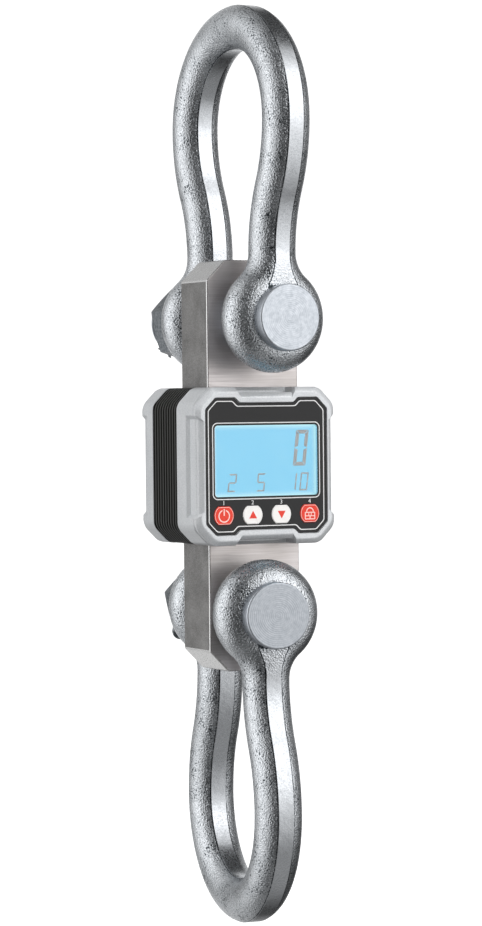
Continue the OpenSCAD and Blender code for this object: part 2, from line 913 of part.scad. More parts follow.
// Open tray between the plate and the back wall, with an exit for the lead
module battery_tray() {
    color(black_color)
        at_housing()
            difference() {
                along_y(tray_y, tray_back)
                    square([2 * (tray_in_x + tray_t), 2 * (tray_in_z + tray_t)], center = true);
                along_y(tray_y + tray_t, tray_back + cut)
                    square([2 * tray_in_x, 2 * tray_in_z], center = true);
                translate([-tray_in_x + cut, cell_y, 0])
                    rotate([0, -90, 0]) cylinder(h = tray_t + 2 * cut, r = lead_r + rest_gap);
            }
}

module at_cells() {
    for (i = [-1 : 1]) translate([0, cell_y, i * cell_pitch]) children();
}

// Three cells side by side, the middle one the other way round
module batteries() {
    nub = 1.2;
    color(brass_color)
        at_housing()
            for (i = [-1 : 1])
                translate([0, cell_y, i * cell_pitch])
                    rotate([0, i == 0 ? -90 : 90, 0]) {
                        translate([0, 0, -cell_l / 2]) cylinder(h = cell_l - nub, d = cell_d);
                        translate([0, 0, cell_l / 2 - 2 * nub]) cylinder(h = 2 * nub, r = cell_d / 6);
                    }
}

module battery_contacts() {
    x = tray_in_x - contact_t / 2;
    color(forged_color)
        at_housing()
            for (side = [-1, 1])
                at_cells()
                    translate([side * x, 0, 0]) cube([contact_t, cell_d * 0.6, cell_d * 0.6], center = true);
}

// Cable from the tray round the plate's left edge to the back of the board
module battery_lead() {
    start_x = tray_in_x - contact_t;
    color(red_color)
        at_housing() {
            translate([-start_x - contact_t, cell_y, 0])
                rotate([0, -90, 0])
                    cylinder(h = lead_x - lead_bend - start_x - contact_t, r = lead_r);
            translate([lead_bend - lead_x, cell_y - lead_bend, 0])
                rotate([0, 0, 90])
                    rotate_extrude(angle = 90) translate([lead_bend, 0]) circle(r = lead_r);
            rod_y(-lead_x, 0, board_back, cell_y - lead_bend, lead_r);
        }
}

module battery_door() {
    color(shell_color)
        at_housing()
            difference() {
                along_y(rear_y - door_t, rear_y) polygon(round_box(2 * door_x, 2 * door_z, 2.9));
                door_screw_places() {
                    rod_y(0, 0, rear_y - door_t - cut, rear_y + cut, 1.25 + rest_gap);
                    rod_y(0, 0, rear_y - door_t / 2, rear_y + cut, 2.5 + rest_gap);
                }
            }
}

module door_screws() {
    color(forged_color)
        at_housing()
            door_screw_places() {
                rod_y(0, 0, tray_back - 3.5, rear_y - door_t / 2, 1.25);
                rod_y(0, 0, rear_y - door_t / 2, rear_y, 2.5);
            }
}

upper_bow();
upper_bolt();
upper_nut();
upper_cotter();
lower_bow();
lower_bolt();
lower_nut();
lower_cotter();
load_plate();
strain_gauges();
gauge_covers();
gauge_lead();
front_bezel();
face_panel();
lcd_window();
lcd_glass();
lcd_backlight();
key_power();
key_up();
key_down();
key_lock();
key_switches();
main_board();
board_screws();
buzzer();
ribbed_sleeve();
front_gasket();
rear_gasket();
upper_plate_seal();
lower_plate_seal();
rear_cover();
housing_screws();
battery_tray();
batteries();
battery_contacts();
battery_lead();
battery_door();
door_screws();
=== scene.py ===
"""Looks of a digital crane scale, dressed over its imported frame.

Lengths are in millimetres while a piece is on the bench. Each piece is then set down in the
model's frame, in metres, by the placement of the assembly that it belongs to.
"""

import logging
import math
from contextlib import contextmanager
from dataclasses import dataclass, field
from enum import Enum
from functools import partial
from typing import Any, Callable, Iterator, Optional, Sequence

import bmesh
import bpy
from mathutils import Matrix, Vector


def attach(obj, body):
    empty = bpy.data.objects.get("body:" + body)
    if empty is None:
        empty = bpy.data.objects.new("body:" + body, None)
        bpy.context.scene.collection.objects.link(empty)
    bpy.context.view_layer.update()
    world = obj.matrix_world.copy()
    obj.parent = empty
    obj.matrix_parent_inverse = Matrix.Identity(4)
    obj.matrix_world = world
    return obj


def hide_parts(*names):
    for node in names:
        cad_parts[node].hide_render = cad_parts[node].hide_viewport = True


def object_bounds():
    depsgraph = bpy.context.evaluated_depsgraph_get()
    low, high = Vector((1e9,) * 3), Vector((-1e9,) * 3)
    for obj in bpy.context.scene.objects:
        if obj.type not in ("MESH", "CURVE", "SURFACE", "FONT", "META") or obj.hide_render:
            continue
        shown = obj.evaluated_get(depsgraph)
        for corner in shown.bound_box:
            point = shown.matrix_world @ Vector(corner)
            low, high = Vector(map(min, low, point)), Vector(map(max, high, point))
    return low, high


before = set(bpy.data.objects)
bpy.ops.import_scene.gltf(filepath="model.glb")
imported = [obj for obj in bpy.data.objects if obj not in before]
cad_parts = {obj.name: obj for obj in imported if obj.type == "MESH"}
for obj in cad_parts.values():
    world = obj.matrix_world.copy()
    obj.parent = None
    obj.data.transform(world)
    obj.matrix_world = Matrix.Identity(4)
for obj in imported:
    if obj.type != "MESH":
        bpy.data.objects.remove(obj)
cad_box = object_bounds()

MM = 0.001
# How near two places count as the same, in millimetres
NEAR = 1e-3
log = logging.getLogger("crane_scale")

PointTest = Callable[[Vector, Vector], bool]
Feeds = dict[Any, Any]


class Body(Enum):
    """The moving bodies that pieces ride on."""

    UPPER_BOW = "upper_bow"
    UPPER_BOLT = "upper_bolt_set"
    LOAD_CELL = "load_cell"
    LOWER_BOW = "lower_bow"
    LOWER_BOLT = "lower_bolt_set"
    POWER_KEY = "power_key"
    UP_KEY = "up_key"
    DOWN_KEY = "down_key"
    LOCK_KEY = "lock_key"


@dataclass(frozen=True)
class Layout:
    """Where the assemblies stand, as the load line sets them."""

    bow_reach: float = 164.6
    pin_spacing: float = 177.0
    plate_shift: float = 2.5
    lower_yaw: float = 7.6

    @property
    def upper_pin(self) -> Matrix:
        """Placement of the upper shackle about its pin."""
        return Matrix.Translation((0, 0, -self.bow_reach))

    @property
    def lower_pin(self) -> Matrix:
        """Placement of the lower shackle, which hangs upside down and stands askew.

        Returns:
            The matrix, in millimetres.
        """
        down = Matrix.Translation((0, self.plate_shift, -self.bow_reach - self.pin_spacing))
        askew = Matrix.Rotation(math.radians(-self.lower_yaw), 4, "Z")
        return down @ askew @ Matrix.Rotation(math.pi, 4, "Y")

    @property
    def housing(self) -> Matrix:
        """Placement of the plate and the housing, about the middle of the plate."""
        return Matrix.Translation((0, self.plate_shift, -self.bow_reach - self.pin_spacing / 2))


# --- bench tools -------------------------------------------------------------------------------


def deselect_all() -> None:
    """Clears the selection, so that an operator acts on the new piece alone."""
    for obj in list(bpy.context.selected_objects):
        obj.select_set(False)


class Workpiece:
    """A mesh on the bench, shaped by operators as by hand."""

    def __init__(self, obj: bpy.types.Object) -> None:
        """Takes a mesh object onto the bench.

        Args:
            obj: The mesh object, selected alone from here on.
        """
        self.obj = obj
        self.select()

    @classmethod
    def block(cls, name: str, low: Sequence[float], high: Sequence[float]) -> "Workpiece":
        """A rectangular block between two corners.

        Args:
            name: Name of the object.
            low: Its lowest corner.
            high: Its highest corner.

        Returns:
            The new workpiece.
        """
        deselect_all()
        a, b = Vector(low), Vector(high)
        bpy.ops.mesh.primitive_cube_add(size=1, location=(a + b) / 2, scale=b - a)
        return cls.from_active(name)

    @classmethod
    def bar(
        cls,
        name: str,
        y0: float,
        y1: float,
        radius: float,
        sides: int = 96,
        centre: tuple[float, float] = (0.0, 0.0),
    ) -> "Workpiece":
        """A round bar along Y.

        Args:
            name: Name of the object.
            y0: Its front end.
            y1: Its rear end.
            radius: Its radius.
            sides: Number of sides.
            centre: X and Z of its axis.

        Returns:
            The new workpiece.
        """
        deselect_all()
        bpy.ops.mesh.primitive_cylinder_add(
            vertices=sides,
            radius=radius,
            depth=y1 - y0,
            location=(centre[0], (y0 + y1) / 2, centre[1]),
            rotation=(math.pi / 2, 0, 0),
        )
        return cls.from_active(name)

    @classmethod
    def disc(cls, name: str, y: float, radius: float, sides: int = 96) -> "Workpiece":
        """A flat disc that faces -Y, to be extruded backwards.

        Args:
            name: Name of the object.
            y: Its place along Y.
            radius: Its radius.
            sides: Number of sides.

        Returns:
            The new workpiece.
        """
        deselect_all()
        bpy.ops.mesh.primitive_circle_add(
            vertices=sides,
            radius=radius,
            fill_type="NGON",
            location=(0, y, 0),
            rotation=(math.pi / 2, 0, 0),
        )
        return cls.from_active(name)

    @classmethod
    def ring(
        cls,
        name: str,
        centre: Sequence[float],
        radius: float,
        thickness: float,
        turned: Sequence[float] = (math.pi / 2, 0, 0),
        segments: tuple[int, int] = (64, 12),
    ) -> "Workpiece":
        """A round ring.

        Args:
            name: Name of the object.
            centre: Its centre.
            radius: Radius of the wire's centre line.
            thickness: Radius of the wire.
            turned: Its turn about X, Y and Z; by default its axis is Y.
            segments: Steps round the ring and round the wire.

        Returns:
            The new workpiece.
        """
        deselect_all()
        bpy.ops.mesh.primitive_torus_add(
            major_segments=segments[0],
            minor_segments=segments[1],
            major_radius=radius,
            minor_radius=thickness,
            location=centre,
            rotation=turned,
        )
        return cls.from_active(name)

    @classmethod
    def lofted(
        cls, name: str, points: Sequence[Sequence[float]], faces: Sequence[Sequence[int]]
    ) -> "Workpiece":
        """A skin over computed points, for a form that operators can't give.

        Args:
            name: Name of the object.
            points: Its vertices.
            faces: Its faces, by vertex index.

        Returns:
            The new workpiece.
        """
        mesh = bpy.data.meshes.new(name)
        mesh.from_pydata([tuple(p) for p in points], [], [tuple(f) for f in faces])
        obj = bpy.data.objects.new(name, mesh)
        bpy.context.scene.collection.objects.link(obj)
        return cls(obj)

    @classmethod
    def from_active(cls, name: str) -> "Workpiece":
        """Names the primitive just added and applies its place to its mesh.

        Args:
            name: Name of the object.

        Returns:
            The new workpiece.
        """
        obj = bpy.context.active_object
        obj.name = name
        bpy.ops.object.transform_apply(location=True, rotation=True, scale=True)
        return cls(obj)

    def select(self) -> None:
        """Selects this piece alone and makes it active."""
        deselect_all()
        self.obj.select_set(True)
        bpy.context.view_layer.objects.active = self.obj

    @contextmanager
    def editing(self, mode: str = "FACE") -> Iterator[bmesh.types.BMesh]:
        """Opens the piece in edit mode with nothing selected.

        Args:
            mode: VERT, EDGE or FACE.

        Yields:
            The mesh being edited.
        """
        self.select()
        bpy.ops.object.mode_set(mode="EDIT")
        bpy.ops.mesh.select_mode(type=mode)
        bpy.ops.mesh.select_all(action="DESELECT")
        yield bmesh.from_edit_mesh(self.obj.data)
        bpy.ops.object.mode_set(mode="OBJECT")

    def _pick_faces(self, mesh: bmesh.types.BMesh, test: PointTest) -> None:
        """Selects the faces whose centre and normal pass the test.

        Args:
            mesh: The mesh being edited.
            test: Picks a face by centre and normal.
        """
        for face in mesh.faces:
            face.select_set(test(face.calc_center_median(), face.normal))
        mesh.select_flush_mode()
        bmesh.update_edit_mesh(self.obj.data)

    def _pick_edges(self, mesh: bmesh.types.BMesh, test: PointTest) -> None:
        """Selects the edges whose middle and direction pass the test.

        Args:
            mesh: The mesh being edited.
            test: Picks an edge by middle and direction.
        """
        for edge in mesh.edges:
            a, b = edge.verts[0].co, edge.verts[1].co
            edge.select_set(test((a + b) / 2, (b - a).normalized()))
        mesh.select_flush_mode()
        bmesh.update_edit_mesh(self.obj.data)

    def bevel_edges(self, test: PointTest, width: float, segments: int = 1) -> "Workpiece":
        """Bevels chosen edges.

        Args:
            test: Picks an edge by its middle and direction.
            width: Width of the bevel.
            segments: 1 for a slant, more for a rounding.

        Returns:
            This workpiece.
        """
        with self.editing("EDGE") as mesh:
            self._pick_edges(mesh, test)
            bpy.ops.mesh.bevel(offset=width, segments=segments, profile=0.5, affect="EDGES")
        return self

    def splay(self, test: PointTest, moves: Sequence[Sequence[float]]) -> "Workpiece":
        """Extrudes chosen faces along a bent way.

        Args:
            test: Picks the faces by centre and normal.
            moves: The steps of the way along X, Y and Z.

        Returns:
            This workpiece.
        """
        with self.editing() as mesh:
            self._pick_faces(mesh, test)
            for move in moves:
                bpy.ops.mesh.extrude_region_move(TRANSFORM_OT_translate={"value": move})
        return self

    def draw_out(
        self, test: PointTest, steps: Sequence[tuple[float, float]], span: float
    ) -> "Workpiece":
        """Extrudes chosen faces along Y in steps, each narrowed by an inset.

        Args:
            test: Picks the faces by centre and normal.
            steps: For each step its advance along Y and its inset on every side.
            span: Width of the drawn form, which turns an inset into a scale.

        Returns:
            This workpiece.
        """
        width = span
        with self.editing() as mesh:
            self._pick_faces(mesh, test)
            for advance, inset in steps:
                bpy.ops.mesh.extrude_region_move(TRANSFORM_OT_translate={"value": (0, advance, 0)})
                factor = (width - 2 * inset) / width
                width -= 2 * inset
                bpy.ops.transform.resize(value=(factor, 1, factor), center_override=(0, 0, 0))
        return self

    def shift_edges(self, test: PointTest, offset: Sequence[float]) -> "Workpiece":
        """Moves chosen edges.

        Args:
            test: Picks an edge by its middle and direction.
            offset: The move along X, Y and Z.

        Returns:
            This workpiece.
        """
        with self.editing("EDGE") as mesh:
            self._pick_edges(mesh, test)
            bpy.ops.transform.translate(value=offset)
        return self

    def slice_off(self, point: Sequence[float], normal: Sequence[float]) -> "Workpiece":
        """Cuts away what lies beyond a plane and closes the cut.

        Args:
            point: A point on the plane.
            normal: The side that goes.

        Returns:
            This workpiece.
        """
        with self.editing():
            bpy.ops.mesh.select_all(action="SELECT")
            bpy.ops.mesh.bisect(
                plane_co=point, plane_no=normal, use_fill=True, clear_outer=True, clear_inner=False
            )
        return self

    def slant(self, test: PointTest, factor: Sequence[float]) -> "Workpiece":
        """Scales chosen faces about their own middle, which slants the walls beside them.

        Args:
            test: Picks the faces by centre and normal.
            factor: Scale along X, Y and Z.

        Returns:
            This workpiece.
        """
        with self.editing() as mesh:
            self._pick_faces(mesh, test)
            chosen = [f.calc_center_median() for f in mesh.faces if f.select]
            middle = sum(chosen, Vector()) / max(len(chosen), 1)
            bpy.ops.transform.resize(value=factor, center_override=middle)
        return self

    def _combine(self, other: "Workpiece", operation: str) -> "Workpiece":
        """Applies a boolean with another piece, which is used up.

        Args:
            other: The other piece.
            operation: DIFFERENCE, UNION or INTERSECT.

        Returns:
            This workpiece.
        """
        self.select()
        modifier = self.obj.modifiers.new("combine", "BOOLEAN")
        modifier.operation = operation
        modifier.solver = "EXACT"
        modifier.object = other.obj
        bpy.ops.object.modifier_apply(modifier=modifier.name)
        other.discard()
        return self

    def cut(self, *tools: "Workpiece") -> "Workpiece":
        """Takes the tools' shapes out of this piece.

        Args:
            tools: The shapes that go, used up.

        Returns:
            This workpiece.
        """
        for tool in tools:
            self._combine(tool, "DIFFERENCE")
        return self

    def fuse(self, *others: "Workpiece") -> "Workpiece":
        """Adds other shapes to this piece as one solid.

        Args:
            others: The shapes that come, used up.

        Returns:
            This workpiece.
        """
        for other in others:
            self._combine(other, "UNION")
        return self

    def keep_within(self, other: "Workpiece") -> "Workpiece":
        """Keeps only what lies inside the other shape."""
        return self._combine(other, "INTERSECT")

    def soften(self, width: float, segments: int = 2, above: float = 25.0) -> "Workpiece":
        """Breaks all sharp edges.

        Args:
            width: Width of the rounding.
            segments: Steps across it.
            above: Only edges sharper than this many degrees.

        Returns:
            This workpiece.
        """
        self.select()
        modifier = self.obj.modifiers.new("soften", "BEVEL")
        modifier.width = width
        modifier.segments = segments
        modifier.limit_method = "ANGLE"
        modifier.angle_limit = math.radians(above)
        modifier.use_clamp_overlap = True
        modifier.miter_outer = "MITER_ARC"
        bpy.ops.object.modifier_apply(modifier=modifier.name)
        return self

    def tidy(self, distance: float = 0.002) -> "Workpiece":
        """Merges doubles and turns all faces outwards.

        Args:
            distance: Points nearer than this become one.

        Returns:
            This workpiece.
        """
        with self.editing("VERT"):
            bpy.ops.mesh.select_all(action="SELECT")
            bpy.ops.mesh.remove_doubles(threshold=distance)
            bpy.ops.mesh.normals_make_consistent(inside=False)
        return self

    def smooth(self, angle: float = 30.0) -> "Workpiece":
        """Shades smooth across edges flatter than the angle, in degrees, but keeps flats flat.

        Args:
            angle: Edges sharper than this stay sharp, in degrees.

        Returns:
            This workpiece.
        """
        self.select()
        bpy.ops.object.shade_smooth_by_angle(angle=math.radians(angle))
        modifier = self.obj.modifiers.new("flats", "WEIGHTED_NORMAL")
        modifier.keep_sharp = True
        bpy.ops.object.modifier_apply(modifier=modifier.name)
        return self

    def copy(self, name: str) -> "Workpiece":
        """A second piece with its own mesh.

        Args:
            name: Name of the copy.

        Returns:
            The copy.
        """
        twin = self.obj.copy()
        twin.data = self.obj.data.copy()
        twin.name = name
        bpy.context.scene.collection.objects.link(twin)
        return Workpiece(twin)

    def join(self, *others: "Workpiece") -> "Workpiece":
        """Makes the others loose parts of this piece.

        Args:
            others: The pieces taken in.

        Returns:
            This workpiece.
        """
        deselect_all()
        for other in others:
            other.obj.select_set(True)
        self.obj.select_set(True)
        bpy.context.view_layer.objects.active = self.obj
        bpy.ops.object.join()
        return self

    def place(self, matrix: Matrix) -> "Workpiece":
        """Sets the piece down by a matrix and applies that to its mesh.

        Args:
            matrix: Where it goes.

        Returns:
            This workpiece.
        """
        self.select()
        self.obj.matrix_world = matrix @ self.obj.matrix_world
        bpy.ops.object.transform_apply(location=True, rotation=True, scale=True)
        return self

    def discard(self) -> None:
        """Throws a used-up tool away with its mesh."""
        mesh = self.obj.data
        bpy.data.objects.remove(self.obj)
        bpy.data.meshes.remove(mesh)

    def deliver(
        self,
        body: Body,
        material: bpy.types.Material,
        slot: str,
        placement: Matrix,
        stands_for: Sequence[str] = (),
    ) -> bpy.types.Object:
        """slot: The record's material slot; not used.
            placement: Where its assembly stands, in millimetres.
            stands_for: The nodes that it replaces.

        Returns:
            The finished object, at the origin.
        """
        self.place(Matrix.Scale(MM, 4) @ placement)
        if not self.obj.data.materials:
            self.obj.data.materials.append(material)
        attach(self.obj, body.value)
        if stands_for:
            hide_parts(*stands_for)
        log.info("%s: %d faces on %s", self.obj.name, len(self.obj.data.polygons), body.value)
        return self.obj


def facing(axis: str, sign: int, limit: float = 0.9) -> PointTest:
    """Test for faces that look along an axis.

    Args:
        axis: X, Y or Z.
        sign: 1 or -1.
        limit: Least share of the normal along it.

    Returns:
        The test.
    """
    index = "XYZ".index(axis)
    return lambda centre, normal: normal[index] * sign > limit


def along(axis: str, limit: float = 0.99) -> PointTest:
    """Test for edges that run along an axis.

    Args:
        axis: X, Y or Z.
        limit: Least share of the direction along it.

    Returns:
        The test.
    """
    index = "XYZ".index(axis)
    return lambda middle, direction: abs(direction[index]) > limit


def rim_edges(y: float, sign: int) -> PointTest:
    """Test for the edges of a rim that lies across Y.

    Args:
        y: Where the rim is.
        sign: 1 for a rim at the back of the piece, -1 for one at its front.

    Returns:
        The test.
    """
    return lambda middle, direction: (middle.y - y) * sign > -NEAR and abs(direction.y) < 0.1


# --- finishes ----------------------------------------------------------------------------------


def linear(colour: str) -> tuple[float, float, float, float]:
    """Turns an sRGB hex colour to linear light.

    Args:
        colour: Such as #C9CDD1.

    Returns:
        Red, green, blue and alpha.
    """
    parts = [int(colour[i : i + 2], 16) / 255 for i in (1, 3, 5)]
    r, g, b = [c / 12.92 if c <= 0.04045 else ((c + 0.055) / 1.055) ** 2.4 for c in parts]
    return (r, g, b, 1.0)


def feed(tree: bpy.types.NodeTree, node: bpy.types.Node, inputs: Feeds) -> None:
    """Sets a node's inputs.

    Args:
        tree: The node tree.
        node: The node.
        inputs: Input name or number to a value, to another node or to one of its outputs.
    """
    for key, value in inputs.items():
        if isinstance(value, bpy.types.Node):
            value = value.outputs[0]
        if isinstance(value, bpy.types.NodeSocket):
            tree.links.new(value, node.inputs[key])
        else:
            node.inputs[key].default_value = value


def add_node(
    tree: bpy.types.NodeTree,
    kind: str,
    inputs: Optional[Feeds] = None,
    stops: Sequence[tuple[float, str]] = (),
    **settings: Any,
) -> bpy.types.Node:
    """Adds a shader node with its settings and links.

    Args:
        tree: The node tree.
        kind: The node's type without the ShaderNode prefix.
        inputs: Input name or number to a value, to another node or to one of its outputs.
        stops: Places and sRGB hex colours, where the node holds a colour ramp.
        settings: Attributes of the node.

    Returns:
        The new node.
    """
    made = tree.nodes.new("ShaderNode" + kind)
    for key, value in settings.items():
        setattr(made, key, value)
    for index, (place, colour) in enumerate(stops):
        elements = made.color_ramp.elements
        stop = elements[index] if index < len(elements) else elements.new(place)
        stop.position, stop.color = place, linear(colour)
    feed(tree, made, inputs or {})
    return made


@dataclass(frozen=True)
class Finish:
    """What every finish has: a name and the settings of its shader that are the same all over."""

    name: str
    metallic: float = 0.0
    roughness: float = 0.5
    ior: float = 1.5

    def material(self) -> bpy.types.Material:
        """Builds the material, or takes it up again where it is built already.

        Returns:
            The material.
        """
        known = bpy.data.materials.get(self.name)
        if known:
            return known
        made = bpy.data.materials.new(self.name)
        made.use_nodes = True
        tree = made.node_tree
        surface = {"Metallic": self.metallic, "Roughness": self.roughness, "IOR": self.ior}
        surface.update(self.pattern(tree, add_node(tree, "TexCoord").outputs["Object"]))
        feed(tree, tree.nodes["Principled BSDF"], surface)
        return made

    def pattern(self, tree: bpy.types.NodeTree, place: bpy.types.NodeSocket) -> Feeds:
        """The finish's own pattern; every kind of finish has another.

        Args:
            tree: The material's nodes.
            place: The surface's place in the model, in metres.

        Returns:
            What feeds the shader's inputs.
        """
        raise NotImplementedError


@dataclass(frozen=True)
class GalvanisedForging(Finish):
    """Hot-dip galvanised steel forging: bright zinc with a rough skin that breaks the reflections
    into speckles. The trimmed strips are smoother, which the mesh tells by its trimmed attribute.
    """

    frost: str = "#D6D9DD"
    bright: str = "#C9CDD1"
    dull: str = "#868B90"
    pit: str = "#3A3F43"
    # The pits are nearer half a millimetre on the real skin; drawn coarser, so that they show.
    pit_size: float = 1.0
    pit_depth: float = 0.44
    patch_size: float = 11.0
    patch_depth: float = 0.9

    def pattern(self, tree: bpy.types.NodeTree, place: bpy.types.NodeSocket) -> Feeds:
        """Pits, patches and a rough skin, with calm strips and a painted shade along their edges.

        Args:
            tree: The material's nodes.
            place: The surface's place in the model, in metres.

        Returns:
            What feeds the shader's inputs.
        """
        add = partial(add_node, tree)
        trimmed = add("Attribute", attribute_name="trimmed").outputs["Fac"]
        pits = add(
            "TexNoise",
            {"Vector": place, "Scale": 1 / (self.pit_size * MM), "Detail": 1.0, "Roughness": 0.5},
        )
        patches = add(
            "TexNoise",
            {
                "Vector": place,
                "Scale": 1 / (self.patch_size * MM),
                "Detail": 3.0,
                "Roughness": 0.55,
            },
        )
        mix = add("Math", {0: patches, 1: 0.6, 2: pits}, operation="MULTIPLY_ADD")
        # The strips are calm; along both of their edges a dark hairline is painted in, a painted
        # shade for the ridge there.
        spread = add("Math", {0: trimmed, 1: 0.3, 2: mix}, operation="MULTIPLY_ADD")
        strip = add("Attribute", attribute_name="strip").outputs["Fac"]
        off_edge = add("Math", {0: strip, 1: 0.62}, operation="SUBTRACT")
        apart = add("Math", {0: off_edge}, operation="ABSOLUTE")
        painted_edge_shade = add("MapRange", {0: apart, 1: 0.12, 2: 0.3, 3: 0.45, 4: 0.0})
        value = add("Math", {0: spread, 1: painted_edge_shade}, operation="SUBTRACT")
        shade = add("MapRange", {0: value, 1: 0.55, 2: 1.05, 3: 0.0, 4: 1.0})
        stops = [(0.0, self.pit), (0.11, self.dull), (0.28, self.bright), (1.0, self.frost)]
        rough, fine = self.roughness + 0.12, self.roughness - 0.08
        swell = add(
            "Bump", {"Height": patches, "Distance": self.patch_depth * MM, "Strength": 0.3}
        )
        strength = add("MapRange", {0: trimmed, 1: 0.3, 2: 1.0, 3: 1.0, 4: 0.06})
        skin = {
            "Height": pits,
            "Distance": self.pit_depth * MM,
            "Strength": strength,
            "Normal": swell,
        }
        return {
            "Base Color": add("ValToRGB", {0: shade}, stops),
            "Roughness": add("MapRange", {0: pits, 1: 0.3, 2: 0.7, 3: rough, 4: fine}),
            "Normal": add("Bump", skin),
        }


@dataclass(frozen=True)
class TurnedZinc(Finish):
    """Turned and zinc-plated steel: pale satin with faint rings round the axis of the bolt."""

    axis: tuple[float, float, float] = (0.0, 0.0, 0.0)
    turn: float = 0.0
    # A tool leaves rings a tenth or two apart; drawn coarser, so that they show.
    ring_pitch: float = 0.6
    ring_depth: float = 0.06
    cloud_size: float = 2.2
    cloud_depth: float = 0.12
    light: str = "#DCE0E6"
    dark: str = "#BFC5CC"

    def pattern(self, tree: bpy.types.NodeTree, place: bpy.types.NodeSocket) -> Feeds:
        """Rings about the bolt and a fine cloud of plating.

        Args:
            tree: The material's nodes.
            place: The surface's place in the model, in metres.

        Returns:
            What feeds the shader's inputs.
        """
        add = partial(add_node, tree)
        centred = add(
            "Mapping",
            {"Vector": place, "Location": self.axis, "Rotation": (0, 0, math.radians(self.turn))},
            vector_type="TEXTURE",
        )
        # The wave texture makes twenty waves to every pi of its scale.
        rings = add(
            "TexWave",
            {
                "Vector": centred,
                "Scale": 1 / (20 * self.ring_pitch * MM) * math.pi,
                "Distortion": 0.6,
                "Detail": 2.0,
                "Detail Scale": 1.5,
            },
            wave_type="RINGS",
            rings_direction="Y",
        ).outputs["Fac"]
        cloud = add(
            "TexNoise",
            {"Vector": place, "Scale": 1 / (self.cloud_size * MM), "Detail": 4.0, "Roughness": 0.6},
        )
        value = add("Math", {0: rings, 1: 0.12, 2: cloud}, operation="MULTIPLY_ADD")
        shade = add("MapRange", {0: value, 1: 0.35, 2: 0.95, 3: 0.0, 4: 1.0})
        rough, fine = self.roughness + 0.06, self.roughness - 0.05
        skin = add("Bump", {"Height": cloud, "Distance": self.cloud_depth * MM, "Strength": 0.3})
        marks = {
            "Height": rings,
            "Distance": self.ring_depth * MM,
            "Strength": 0.4,
            "Normal": skin,
        }
        return {
            "Base Color": add("ValToRGB", {0: shade}, [(0, self.dark), (1, self.light)]),
            "Roughness": add("MapRange", {0: cloud, 1: 0.3, 2: 0.7, 3: rough, 4: fine}),
            "Normal": add("Bump", marks),
        }


@dataclass(frozen=True)
class GrainedFinish(Finish):
    """A surface of one stuff whose fine grain lies over slow clouds. Plating, milling and moulding
    all leave such a one, each with its own sizes, in millimetres."""

    light: str = "#808080"
    dark: str = "#707070"
    # Real grains are a tenth or two wide; drawn coarser, so that they show.
    grain_size: float = 0.6
    grain_detail: float = 3.0
    grain_sharpness: float = 0.6
    grain_depth: float = 0.05
    grain_strength: float = 0.4
    cloud_size: float = 18.0
    cloud_share: float = 0.5
    span: tuple[float, float] = (0.5, 1.0)
    uneven: tuple[float, float] = (0.06, -0.04)

    def pattern(self, tree: bpy.types.NodeTree, place: bpy.types.NodeSocket) -> Feeds:
        """Two shades that follow grain and clouds, an uneven gloss and a fine relief.

        Args:
            tree: The material's nodes.
            place: The surface's place in the model, in metres.

        Returns:
            What feeds the shader's inputs.
        """
        add = partial(add_node, tree)
        grain = {
            "Vector": place,
            "Scale": 1 / (self.grain_size * MM),
            "Detail": self.grain_detail,
            "Roughness": self.grain_sharpness,
        }
        clouds = {
            "Vector": place,
            "Scale": 1 / (self.cloud_size * MM),
            "Detail": 2.0,
            "Roughness": 0.55,
        }
        fine, slow = add("TexNoise", grain), add("TexNoise", clouds)
        value = add("Math", {0: slow, 1: self.cloud_share, 2: fine}, operation="MULTIPLY_ADD")
        low, high = self.span
        shade = add("MapRange", {0: value, 1: low, 2: high, 3: 0.0, 4: 1.0})
        dull, sleek = (self.roughness + change for change in self.uneven)
        skin = {
            "Height": fine,
            "Distance": self.grain_depth * MM,
            "Strength": self.grain_strength,
        }
        return {
            "Base Color": add("ValToRGB", {0: shade}, [(0, self.dark), (1, self.light)]),
            "Roughness": add("MapRange", {0: fine, 1: 0.3, 2: 0.7, 3: dull, 4: sleek}),
            "Normal": add("Bump", skin),
        }


@dataclass(frozen=True)
class MouldedPlastic(GrainedFinish):
    """Moulded plastic, plain or painted: a fine spark-eroded texture on an even colour."""


@dataclass(frozen=True)
class PlatedSteel(GrainedFinish):
    """Zinc-plated steel of nuts, pins and screws: greyer than the bolt, lightly grained."""

    light: str = "#A4A9AE"
    dark: str = "#565B60"
    grain_size: float = 1.4
    grain_detail: float = 4.0
    grain_depth: float = 0.15
    cloud_share: float = 0.0
    span: tuple[float, float] = (0.3, 0.7)
    uneven: tuple[float, float] = (0.1, -0.05)


@dataclass(frozen=True)
class MilledSteel(GrainedFinish):
    """Milled and bead-blasted steel on the plate's edges: an even, grainy mid grey."""

    light: str = "#A3A2A1"
    dark: str = "#6B6A69"
    grain_size: float = 0.7
    grain_sharpness: float = 0.7
    grain_depth: float = 0.1
    grain_strength: float = 0.5
    cloud_size: float = 14.0
    uneven: tuple[float, float] = (0.0, 0.0)


